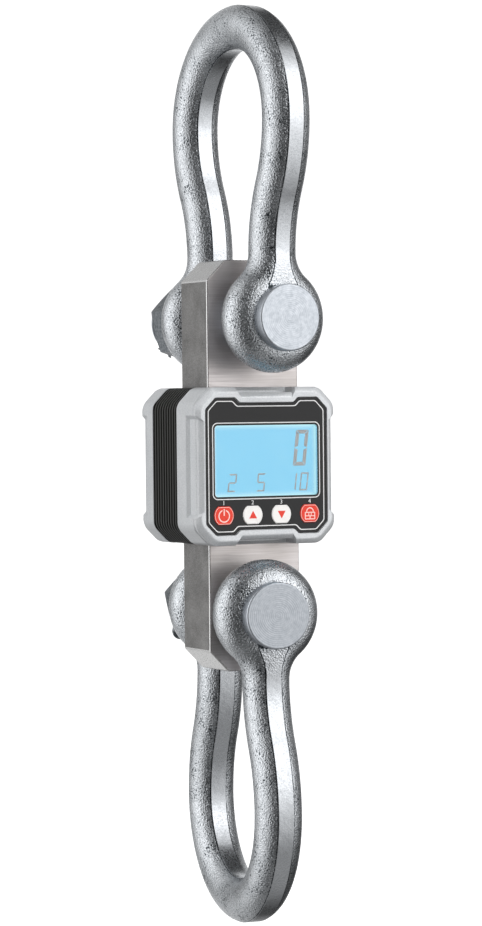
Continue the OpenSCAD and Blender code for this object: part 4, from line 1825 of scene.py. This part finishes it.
    def build_cover(self) -> Workpiece:
        """The rear shell: front band, corner guards, rounded rim, door recess and screw wells.

        Returns:
            The cover.
        """
        middle = self.cover_front + self.cover_depth / 2
        band = self.slab("rear_cover_shell", self.cover_front, middle)
        guard_back = self.rear - sum(advance for advance, _ in self.cover_rim)
        guards = self.slab("guards", middle - 1.0, guard_back)
        guards.cut(*self.recess_tools(middle - 3, self.rear))
        guards.draw_out(facing("Y", 1), self.cover_rim, self.size)
        shell = band.fuse(guards.tidy())
        shell.cut(self.slab("hollow", self.cover_front - 2, self.rear - self.wall, self.wall + 2))
        x, z = (half + self.bore_gap for half in self.door)
        floor = self.rear - self.door_t - self.bore_gap
        well = Workpiece.block("door_well", (-x, floor, -z), (x, self.rear + 3, z))
        shell.cut(well.bevel_edges(along("Y"), self.well_round, 5))
        for sx in (-1, 1):
            for sz in (-1, 1):
                centre = (sx * self.screw[0], sz * self.screw[1])
                foot, top = self.cover_front + 2, self.rear - 1
                shell.fuse(Workpiece.bar("post", foot, top, self.post_r, 48, centre))
                seat, head = self.rear - self.screw_sink, self.screw_head + 2 * self.bore_gap
                shank = self.screw_shank + self.bore_gap
                shell.cut(
                    Workpiece.bar("well", seat, self.rear + 3, head, 48, centre),
                    Workpiece.bar("shaft", 0, self.rear, shank, 32, centre),
                )
        return shell.tidy().soften(self.cover_round, 2, 24).smooth(32)

    def build_door(self) -> Workpiece:
        """The battery door with its edge broken and its two screw holes.

        Returns:
            The door.
        """
        x, z = self.door
        inner = self.rear - self.door_t
        door = Workpiece.block("battery_door_cover", (-x, inner, -z), (x, self.rear, z))
        door.bevel_edges(along("Y"), self.door_round, 5)
        seat, head = self.rear - self.door_screw_sink, self.door_screw_head + self.bore_gap
        shank = self.door_screw_shank + self.bore_gap
        for side in (-1, 1):
            centre = (side * (x - self.door_screw), 0.0)
            door.cut(
                Workpiece.bar("well", seat, self.rear + 2, head, 48, centre),
                Workpiece.bar("shaft", self.rear - 4, self.rear + 2, shank, 32, centre),
            )
        return door.tidy().soften(0.3, 2, 40).smooth(32)

    def build_screws(
        self,
        name: str,
        places: Sequence[tuple[float, float]],
        y0: float,
        seat: float,
        shank: float,
        head: float,
        rise: float,
    ) -> Workpiece:
        """Pan-head screws with a cross recess, modelled once and copied.

        Args:
            name: Name of the object.
            places: X and Z of each screw.
            y0: Where the tips are.
            seat: Where the heads bear.
            shank: Radius of the shank.
            head: Radius of the head.
            rise: Height of the head.

        Returns:
            All the screws as one piece.
        """
        first = Workpiece.bar(name, y0, seat + 0.1, shank, 32)
        top = Workpiece.bar("head", seat, seat + rise, head, 48)
        top.bevel_edges(rim_edges(seat + rise, 1), rise * 0.45, 4)
        first.fuse(top)
        long, thick, floor = head * 0.55, head * 0.13, seat + rise * 0.45
        for turn in (0.0, math.pi / 2):
            slot = Workpiece.block("slot", (-long, floor, -thick), (long, seat + rise + 1, thick))
            first.cut(slot.place(Matrix.Rotation(turn + 0.4, 4, "Y")))
        first.tidy()
        copies = [first.copy(name).place(Matrix.Translation((x, 0, z))) for x, z in places[1:]]
        first.place(Matrix.Translation((places[0][0], 0, places[0][1])))
        return first.join(*copies).smooth(35)

    def dress(self) -> None:
        """Builds the shells, the door and the screws and hangs them on the load cell."""
        plated, silver = Finishes.plated.material(), Finishes.silver.material()
        nylon = Finishes.nylon.material()
        for build, material, slot, node in (
            (self.build_bezel, silver, "shell_silver", "front_bezel"),
            (self.build_sleeve, nylon, "plastic_black", "ribbed_sleeve"),
            (self.build_cover, silver, "shell_silver", "rear_cover"),
            (self.build_door, silver, "shell_silver", "battery_door"),
        ):
            build().deliver(Body.LOAD_CELL, material, slot, self.placement, [node])
        x, z = self.screw
        corners = [(sx * x, sz * z) for sx in (-1, 1) for sz in (-1, 1)]
        long_screws = self.build_screws(
            "long_housing_screws",
            corners,
            self.bezel_back - 12,
            self.rear - self.screw_sink,
            self.screw_shank,
            self.screw_head,
            2.6,
        )
        ends = [(side * (self.door[0] - self.door_screw), 0.0) for side in (-1, 1)]
        short_screws = self.build_screws(
            "battery_door_screws",
            ends,
            self.rear - 6.5,
            self.rear - self.door_screw_sink,
            self.door_screw_shank,
            self.door_screw_head,
            self.door_screw_sink,
        )
        for screws, node in ((long_screws, "housing_screws"), (short_screws, "door_screws")):
            screws.deliver(Body.LOAD_CELL, plated, "nut_steel", self.placement, [node])


# --- face --------------------------------------------------------------------------------------


class Segment(Enum):
    """Bars of a seven-segment figure.

    Each holds its middle in widths and heights, its turn in degrees, and how far the corners at
    its left and right ends are cut back, in bar widths: outer and inner corner of each end.
    """

    TOP = (0.0, 1.0, 0, (0.0, 1.0), (0.0, 1.0))
    UPPER_RIGHT = (0.5, 0.75, 90, (0.0, 1.0), (0.5, 0.9))
    LOWER_RIGHT = (0.5, 0.25, 90, (0.5, 0.9), (0.0, 1.0))
    BOTTOM = (0.0, 0.0, 180, (0.0, 1.0), (0.0, 1.0))
    LOWER_LEFT = (-0.5, 0.25, -90, (0.0, 1.0), (0.5, 0.9))
    UPPER_LEFT = (-0.5, 0.75, -90, (0.5, 0.9), (0.0, 1.0))
    MIDDLE = (0.0, 0.5, 0, (0.7, 0.7), (0.7, 0.7))


S = Segment
DIGITS: dict[str, tuple[Segment, ...]] = {
    "0": (S.TOP, S.UPPER_RIGHT, S.LOWER_RIGHT, S.BOTTOM, S.LOWER_LEFT, S.UPPER_LEFT),
    "1": (S.UPPER_RIGHT, S.LOWER_RIGHT),
    "2": (S.TOP, S.UPPER_RIGHT, S.MIDDLE, S.LOWER_LEFT, S.BOTTOM),
    "5": (S.TOP, S.UPPER_LEFT, S.MIDDLE, S.LOWER_RIGHT, S.BOTTOM),
}


@dataclass
class Face:
    """The black panel with its printed lines, the display and its figures, and the four keys."""

    housing: Housing
    panel_t: float = 0.8
    line: float = 0.55
    ink_t: float = 0.06
    key_face: float = -34.05
    key_body: tuple[Body, ...] = (Body.POWER_KEY, Body.UP_KEY, Body.DOWN_KEY, Body.LOCK_KEY)
    key_node: tuple[str, ...] = ("key_power", "key_up", "key_down", "key_lock")
    key_print: float = 0.05
    key_gap: float = 0.1
    key_round: float = 0.5
    flange_t: float = 1.1
    flange_w: float = 0.6
    stem_r: float = 2.0
    stem_end: float = -24.85
    # Inset and width of the pale line round each key's cap, a painted highlight.
    highlight_inset: float = 0.5
    highlight_width: float = 0.28
    big_size: tuple[float, float] = (6.4, 19.4)
    big_bar: float = 2.3
    small_size: tuple[float, float] = (4.6, 10.0)
    small_bar: float = 0.9
    small_row: tuple[tuple[str, float], ...] = (("2", -22.6), ("5", -3.0), ("1", 18.6), ("0", 26.6))
    glass_y: float = -29.15
    figure_slant: float = 0.12
    number_size: float = 3.6
    number_rise: float = 6.4
    line_inset: float = 2.2
    frame_grow: float = 1.7

    @property
    def placement(self) -> Matrix:
        """The face stands where the housing does."""
        return self.housing.placement

    @property
    def panel_y(self) -> float:
        """The panel's front."""
        return self.housing.front + self.housing.panel_depth - self.panel_t

    def build_panel(self) -> Workpiece:
        """The overlay, open at the window and the keys, with a soft edge.

        Returns:
            The panel.
        """
        h = self.housing
        back = self.panel_y + self.panel_t
        panel = h.panel_prism("face_panel_overlay", self.panel_y, back, 0.35)
        panel.cut(h.window_prism("window_hole", self.panel_y - 2, back + 2, 0.0, h.window_round))
        for index in range(len(h.key_xs)):
            panel.cut(h.key_prism("key_hole", index, self.panel_y - 2, back + 2, 0.0))
        return panel.tidy().soften(0.18, 2, 30).smooth(30)

    def build_pin_line(self) -> Workpiece:
        """The white line that follows the panel's edge.

        Returns:
            The line.
        """
        h = self.housing
        front, back = self.panel_y - self.ink_t, self.panel_y + 0.02
        line = h.panel_prism("panel_pin_line", front, back, self.line_inset)
        line.cut(h.panel_prism("inside", front - 1, back + 1, self.line_inset + self.line))
        return line.tidy()

    def build_window_frame(self) -> Workpiece:
        """The white line round the window.

        Returns:
            The line.
        """
        h = self.housing
        front, back = self.panel_y - self.ink_t, self.panel_y + 0.02
        frame_line = h.window_prism("window_frame_line", front, back, self.frame_grow, 3.5)
        inner = self.frame_grow - self.line
        frame_line.cut(h.window_prism("inside", front - 1, back + 1, inner, 3.0))
        return frame_line.tidy()

    def build_figure(
        self,
        name: str,
        figure: str,
        place: tuple[float, float],
        size: tuple[float, float],
        bar: float,
    ) -> Workpiece:
        """One seven-segment figure, slanted as such displays are.

        Args:
            name: Name of the object.
            figure: The digit.
            place: X and Z of the middle of its foot.
            size: Its width and height.
            bar: Width of a bar.

        Returns:
            The figure as one piece.
        """
        width, height = size
        pieces = []
        for segment in DIGITS[figure]:
            across, up, turn, left, right = segment.value
            half = ((height / 2 if turn in (90, -90) else width) + bar) / 2 - bar * 0.1
            piece = Workpiece.block(name, (-half, 0, -bar / 2), (half, 0.04, bar / 2))
            for end, cuts in ((-1, left), (1, right)):
                for side, share in zip((1, -1), cuts):
                    piece.shift_edges(
                        lambda m, d: m.x * end > bar * 0.1 and m.z * side > 0 and abs(d.y) > 0.9,
                        (-end * share * bar, 0, 0),
                    )
            piece.place(Matrix.Rotation(math.radians(turn), 4, "Y"))
            piece.place(Matrix.Translation((across * width, 0, up * height)))
            pieces.append(piece)
        figure_piece = pieces[0].join(*pieces[1:]) if len(pieces) > 1 else pieces[0]
        # The shear operator needs a window, so the mesh is leant by a matrix.
        lean = Matrix.Identity(4)
        lean[0][2] = self.figure_slant
        figure_piece.obj.data.transform(lean)
        return figure_piece.place(Matrix.Translation((place[0], self.glass_y - 0.07, place[1])))

    def build_figures(self) -> Workpiece:
        """The reading and a small row of plain numbers.

        Returns:
            All the figures as one piece.
        """
        rise = self.housing.window[2]
        name = "lcd_figures"
        big = self.build_figure(name, "0", (24.0, rise - 2.4), self.big_size, self.big_bar)
        small = [
            self.build_figure(name, figure, (x, rise - 18.2), self.small_size, self.small_bar)
            for figure, x in self.small_row
        ]
        return big.join(*small)

    def build_key(self, index: int) -> Workpiece:
        """A key's cap with a rounded edge, its flange and its stem.

        Args:
            index: Which key, from the left.

        Returns:
            The key.
        """
        h = self.housing
        inner = h.front + h.panel_depth + h.face_wall
        cap_back = inner + self.key_gap
        cap = h.key_prism(f"key_cap_{index + 1}", index, self.key_face, cap_back, -self.key_gap)
        cap.bevel_edges(rim_edges(self.key_face, -1), self.key_round, 4)
        flange_front, flange_back = inner + self.key_gap / 2, inner + self.flange_t
        flange = h.key_prism("flange", index, flange_front, flange_back, self.flange_w)
        centre = (h.key_xs[index], h.key_z)
        stem = Workpiece.bar("stem", inner + 0.5, self.stem_end, self.stem_r, 32, centre)
        return cap.fuse(flange, stem).tidy().smooth(35)

    def build_key_edge_highlight(self, index: int) -> Workpiece:
        """A pale line round a key's cap, a painted highlight along its rounded edge.

        Args:
            index: Which key, from the left.

        Returns:
            The line.
        """
        front, back = self.key_face - self.key_print, self.key_face + self.key_print
        name, inside = f"key_rim_{index + 1}", -self.highlight_inset - self.highlight_width
        rim = self.housing.key_prism(name, index, front, back, -self.highlight_inset)
        rim.cut(self.housing.key_prism("inside", index, front - 1, back + 1, inside))
        return rim.tidy()

    def build_triangle(self, index: int, sign: int) -> Workpiece:
        """A printed triangle that points up or down.

        Args:
            index: Which key, from the left.
            sign: 1 to point up, -1 to point down.

        Returns:
            The triangle.
        """
        front, back = self.key_face - self.key_print, self.key_face + self.key_print
        mark = Workpiece.bar(f"key_mark_{index + 1}", front, back, 3.1, 3)
        low = min(v.co.z for v in mark.obj.data.vertices)
        high = max(v.co.z for v in mark.obj.data.vertices)
        points_up = high > -low
        turn = 0.0 if points_up == (sign > 0) else math.pi
        mark.place(Matrix.Rotation(turn, 4, "Y"))
        mark.bevel_edges(along("Y"), 0.25, 3)
        x = self.housing.key_xs[index]
        return mark.place(Matrix.Translation((x, 0, self.housing.key_z - sign * 0.5)))

    def build_power_mark(self) -> Workpiece:
        """The usual power sign: a broken ring with a bar in its gap.

        Returns:
            The sign.
        """
        front, back = self.key_face - self.key_print, self.key_face + self.key_print
        sign = Workpiece.bar("key_mark_1", front, back, 3.9, 56)
        sign.cut(Workpiece.bar("inside", front - 1, back + 1, 3.15, 56))
        sign.cut(Workpiece.block("gap", (-1.15, front - 1, 0), (1.15, back + 1, 6)))
        sign.join(Workpiece.block("bar", (-0.38, front, 0.2), (0.38, back, 4.3)))
        return sign.place(Matrix.Translation((self.housing.key_xs[0], 0, self.housing.key_z - 0.2)))

    def build_lock_mark(self) -> Workpiece:
        """A closed padlock in outline.

        Returns:
            The sign.
        """
        front, back = self.key_face - self.key_print, self.key_face + self.key_print
        sign = Workpiece.block("key_mark_4", (-3.6, front, -3.6), (3.6, back, 1.0))
        sign.bevel_edges(along("Y"), 0.5, 3)
        for x0, x1, z0, z1 in (
            (-2.95, -1.1, -1.15, 0.4),
            (-0.6, 0.6, -1.15, 0.4),
            (1.1, 2.95, -1.15, 0.4),
            (-2.95, -0.35, -3.0, -1.65),
            (0.35, 2.95, -3.0, -1.65),
        ):
            sign.cut(Workpiece.block("hole", (x0, front - 1, z0), (x1, back + 1, z1)))
        bow = Workpiece.bar("bow", front, back, 2.6, 48, (0, 1.2))
        bow.cut(Workpiece.bar("inside", front - 1, back + 1, 1.95, 48, (0, 1.2)))
        bow.cut(Workpiece.block("below", (-4, front - 1, -4), (4, back + 1, 0.9)))
        sign.join(bow)
        return sign.place(Matrix.Translation((self.housing.key_xs[3], 0, self.housing.key_z - 0.1)))

    def build_key_number(self, index: int) -> Workpiece:
        """A plain number printed above a key.

        Args:
            index: Which key, from the left.

        Returns:
            The number.
        """
        deselect_all()
        bpy.ops.object.text_add(rotation=(math.pi / 2, 0, 0))
        text = bpy.context.active_object
        text.data.body = str(index + 1)
        text.data.size = self.number_size
        text.data.align_x = "CENTER"
        text.data.extrude = self.ink_t / 2
        bpy.ops.object.convert(target="MESH")
        number = Workpiece.from_active(f"key_number_{index + 1}")
        h = self.housing
        place = (h.key_xs[index], self.panel_y - self.ink_t / 2, h.key_z + self.number_rise)
        return number.place(Matrix.Translation(place)).tidy()

    def dress(self) -> None:
        """Builds the face and hangs the keys on their own bodies."""
        white_print_and_highlight = Finishes.white_print_and_highlight.material()
        film = Finishes.film.material()
        self.build_panel().deliver(
            Body.LOAD_CELL, film, "panel_black", self.placement, ["face_panel"]
        )
        for piece in (self.build_pin_line(), self.build_window_frame()):
            piece.deliver(Body.LOAD_CELL, white_print_and_highlight, "key_white", self.placement)
        self.build_figures().deliver(
            Body.LOAD_CELL, Finishes.segment.material(), "plastic_black", self.placement
        )
        red, pale = Finishes.red_key.material(), Finishes.pale_key.material()
        line = Finishes.pink_print_and_highlight.material()
        caps = (red, pale, pale, red)
        slots = ("key_red", "key_white", "key_white", "key_red")
        marks = (
            self.build_power_mark(),
            self.build_triangle(1, 1),
            self.build_triangle(2, -1),
            self.build_lock_mark(),
        )
        mark_finish = (line, red, red, line)
        for index, body in enumerate(self.key_body):
            self.build_key(index).deliver(
                body, caps[index], slots[index], self.placement, [self.key_node[index]]
            )
            # The pale line round each cap is a painted highlight, laid in the print's finish.
            self.build_key_edge_highlight(index).deliver(
                body, line if caps[index] is red else white_print_and_highlight, "key_white", self.placement
            )
            marks[index].deliver(body, mark_finish[index], slots[index], self.placement)
            self.build_key_number(index).deliver(Body.LOAD_CELL, white_print_and_highlight, "key_white", self.placement)


# --- carried-over nodes ------------------------------------------------------------------------


@dataclass
class CarriedOver:
    """The nodes whose shape is right as packed, and the finish that each gets."""

    layout: Layout
    window_rise: float = 3.2
    plain: dict[str, Finish] = field(
        default_factory=lambda: {
            "strain_gauges": Finishes.copper,
            "gauge_covers": Finishes.plated,
            "gauge_lead": Finishes.rubber,
            "lcd_window": Finishes.pane,
            "lcd_backlight": Finishes.diffuser,
            "key_switches": Finishes.nylon,
            "main_board": Finishes.solder_mask,
            "board_screws": Finishes.plated,
            "buzzer": Finishes.nylon,
            "front_gasket": Finishes.rubber,
            "rear_gasket": Finishes.rubber,
            "upper_plate_seal": Finishes.rubber,
            "lower_plate_seal": Finishes.rubber,
            "battery_tray": Finishes.nylon,
            "batteries": Finishes.cell,
            "battery_contacts": Finishes.copper,
            "battery_lead": Finishes.red_lead,
        }
    )

    def dress(self) -> None:
        """Assigns the finishes."""
        centre = self.layout.housing.translation
        lit = LitDisplay(
            "backlit_lcd", roughness=0.25, centre=(centre.x, centre.z + self.window_rise)
        )
        for name, finish in {**self.plain, "lcd_glass": lit}.items():
            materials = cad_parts[name].data.materials
            materials.clear()
            materials.append(finish.material())
            log.info("%s: %s", name, finish.name)
        # The display shines straight ahead and leaves no blue glint on the shackles, neither by
        # itself nor through its pane.
        for name in ("lcd_glass", "lcd_window"):
            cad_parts[name].visible_glossy = False


# --- studio ------------------------------------------------------------------------------------


@dataclass(frozen=True)
class Card:
    """A round bounce card far away: its direction, its half angles and its brightness."""

    left: float
    up: float
    inner: float
    outer: float
    glow: float


@dataclass(frozen=True)
class Softbox:
    """A rectangular softbox that faces the object. A polarised one leaves no mirror image."""

    name: str
    left: float
    up: float
    distance: float
    width: float
    height: float
    glow: float
    polarised: bool = False


@dataclass
class Studio:
    """A plain pale floor, soft light from large panels, and the photograph's camera."""

    room: float = 0.05
    cards: tuple[Card, ...] = (
        Card(180, 4, 12, 30, 0.97),
        Card(84, 5, 34, 58, 0.84),
        Card(-66, 4, 10, 44, 1.15),
        Card(-54, 37, 6, 40, 1.35),
        Card(156, 30, 10, 28, 0.32),
        Card(158, -29, 10, 28, 0.55),
        Card(-128, 10, 8, 28, 0.2),
        Card(-50, -62, 10, 46, 0.28),
        Card(112, -44, 10, 44, 0.25),
        Card(112, 52, 10, 40, 0.3),
    )
    softboxes: tuple[Softbox, ...] = (
        Softbox("left_softbox", 84, 8, 1.7, 0.7, 1.6, 1.0),
        Softbox("key_softbox", -54, 44, 1.7, 1.0, 0.8, 4.4, polarised=True),
        Softbox("front_fill", 8, 30, 1.7, 1.0, 1.0, 3.5, polarised=True),
        Softbox("side_fill", 76, 22, 1.7, 1.0, 1.0, 0.4, polarised=True),
    )
    aim: Vector = field(default_factory=lambda: Vector((0.0, 0.00125, -0.2531)))
    azimuth: float = 28.0
    elevation: float = 1.2
    roll: float = -0.55
    distance: float = 1.8
    focal_px: float = 2941.0
    frame_px: tuple[int, int] = (482, 926)
    centre_px: tuple[float, float] = (241.4, 465.0)

    def build_floor(self) -> None:
        """A wide pale floor below the object and a pale dome all round."""
        deselect_all()
        bpy.ops.mesh.primitive_plane_add(size=14, location=(0, 0, cad_box[0].z - 0.05))
        floor = bpy.context.active_object
        floor.name = "studio_floor"
        table = LightTable("backlit_opal_acrylic", roughness=0.9)
        floor.data.materials.append(table.material())
        deselect_all()
        bpy.ops.mesh.primitive_uv_sphere_add(segments=64, ring_count=32, radius=7.5)
        backdrop = bpy.context.active_object
        backdrop.name = "studio_backdrop"
        backdrop.data.materials.append(table.material())
        bpy.ops.object.shade_smooth()
        backdrop.visible_shadow = False
        # Both are only a background: they neither mirror in the metal nor light it.
        for stand in (floor, backdrop):
            stand.visible_glossy = False
            stand.visible_diffuse = False

    def toward(self, left: float, up: float) -> Vector:
        """A direction from the object, told from the camera's side.

        Args:
            left: Degrees to the left of the camera; 180 is behind the object.
            up: Degrees above the horizon.

        Returns:
            The unit vector.
        """
        turn, rise = math.radians(self.azimuth + left), math.radians(up)
        return Vector(
            (-math.sin(turn) * math.cos(rise), -math.cos(turn) * math.cos(rise), math.sin(rise))
        )

    def build_world(self) -> None:
        """A dim room with round bounce cards far away in it."""
        world = bpy.data.worlds.new("studio_surround")
        bpy.context.scene.world = world
        world.use_nodes = True
        tree = world.node_tree
        direction = add_node(tree, "TexCoord").outputs["Generated"]
        total: Any = self.room
        for card in self.cards:
            aligned = add_node(
                tree,
                "VectorMath",
                {0: direction, 1: self.toward(card.left, card.up)},
                operation="DOT_PRODUCT",
            ).outputs["Value"]
            outer, inner = (math.cos(math.radians(a)) for a in (card.outer, card.inner))
            glow = add_node(
                tree, "MapRange", {0: aligned, 1: outer, 2: inner, 3: 0.0, 4: card.glow}
            )
            total = add_node(tree, "Math", {0: total, 1: glow}, operation="ADD")
        feed(tree, tree.nodes["Background"], {"Color": total})

    def build_lights(self) -> None:
        """The softboxes: a tall one on the left, the key above the right, and two fills."""
        for box in self.softboxes:
            light = bpy.data.lights.new(box.name, "AREA")
            light.shape = "RECTANGLE"
            light.size, light.size_y = box.width, box.height
            light.energy = box.glow * math.pi * box.width * box.height
            obj = bpy.data.objects.new(box.name, light)
            obj.visible_glossy = not box.polarised
            bpy.context.scene.collection.objects.link(obj)
            away = self.toward(box.left, box.up)
            obj.location = self.aim + away * box.distance
            obj.rotation_euler = (-away).to_track_quat("-Z", "Y").to_euler()

    def build_camera(self) -> None:
        """The camera, left of the display's normal and a little above the housing."""
        a, e = math.radians(self.azimuth), math.radians(self.elevation)
        back = Vector((-math.sin(a) * math.cos(e), -math.cos(a) * math.cos(e), math.sin(e)))
        camera = bpy.data.cameras.new("photo_camera")
        camera.sensor_width = 36.0
        camera.lens = self.focal_px / max(self.frame_px) * 36.0
        camera.clip_start, camera.clip_end = 0.05, 50.0
        obj = bpy.data.objects.new("photo_camera", camera)
        bpy.context.scene.collection.objects.link(obj)
        look = (-back).to_track_quat("-Z", "Y").to_matrix()
        turn = look @ Matrix.Rotation(math.radians(self.roll), 3, "Z")
        scale = self.distance / self.focal_px
        right = (self.centre_px[0] - self.frame_px[0] / 2) * scale
        down = (self.centre_px[1] - self.frame_px[1] / 2) * scale
        target = self.aim - turn @ Vector((right, -down, 0))
        obj.matrix_world = Matrix.Translation(target + back * self.distance) @ turn.to_4x4()
        bpy.context.scene.camera = obj

    def build(self) -> None:
        """Builds the whole studio and shows its light as it is, without a film curve."""
        bpy.context.scene.view_settings.view_transform = "Standard"
        self.build_floor()
        self.build_world()
        self.build_lights()
        self.build_camera()


def main() -> None:
    """Builds the assemblies in order and dresses what is carried over."""
    logging.basicConfig(level=logging.INFO, format="%(name)s: %(message)s")
    layout = Layout()
    Studio().build()
    Shackle(
        "upper",
        layout.upper_pin,
        Body.UPPER_BOW,
        Body.UPPER_BOLT,
        Finishes.turned(layout, lower=False),
    ).dress()
    Shackle(
        "lower",
        layout.lower_pin,
        Body.LOWER_BOW,
        Body.LOWER_BOLT,
        Finishes.turned(layout, lower=True),
    ).dress()
    LoadPlate(layout.housing).dress()
    housing = Housing(layout.housing)
    housing.dress()
    Face(housing).dress()
    CarriedOver(layout).dress()


if __name__ == "__main__":
    main()
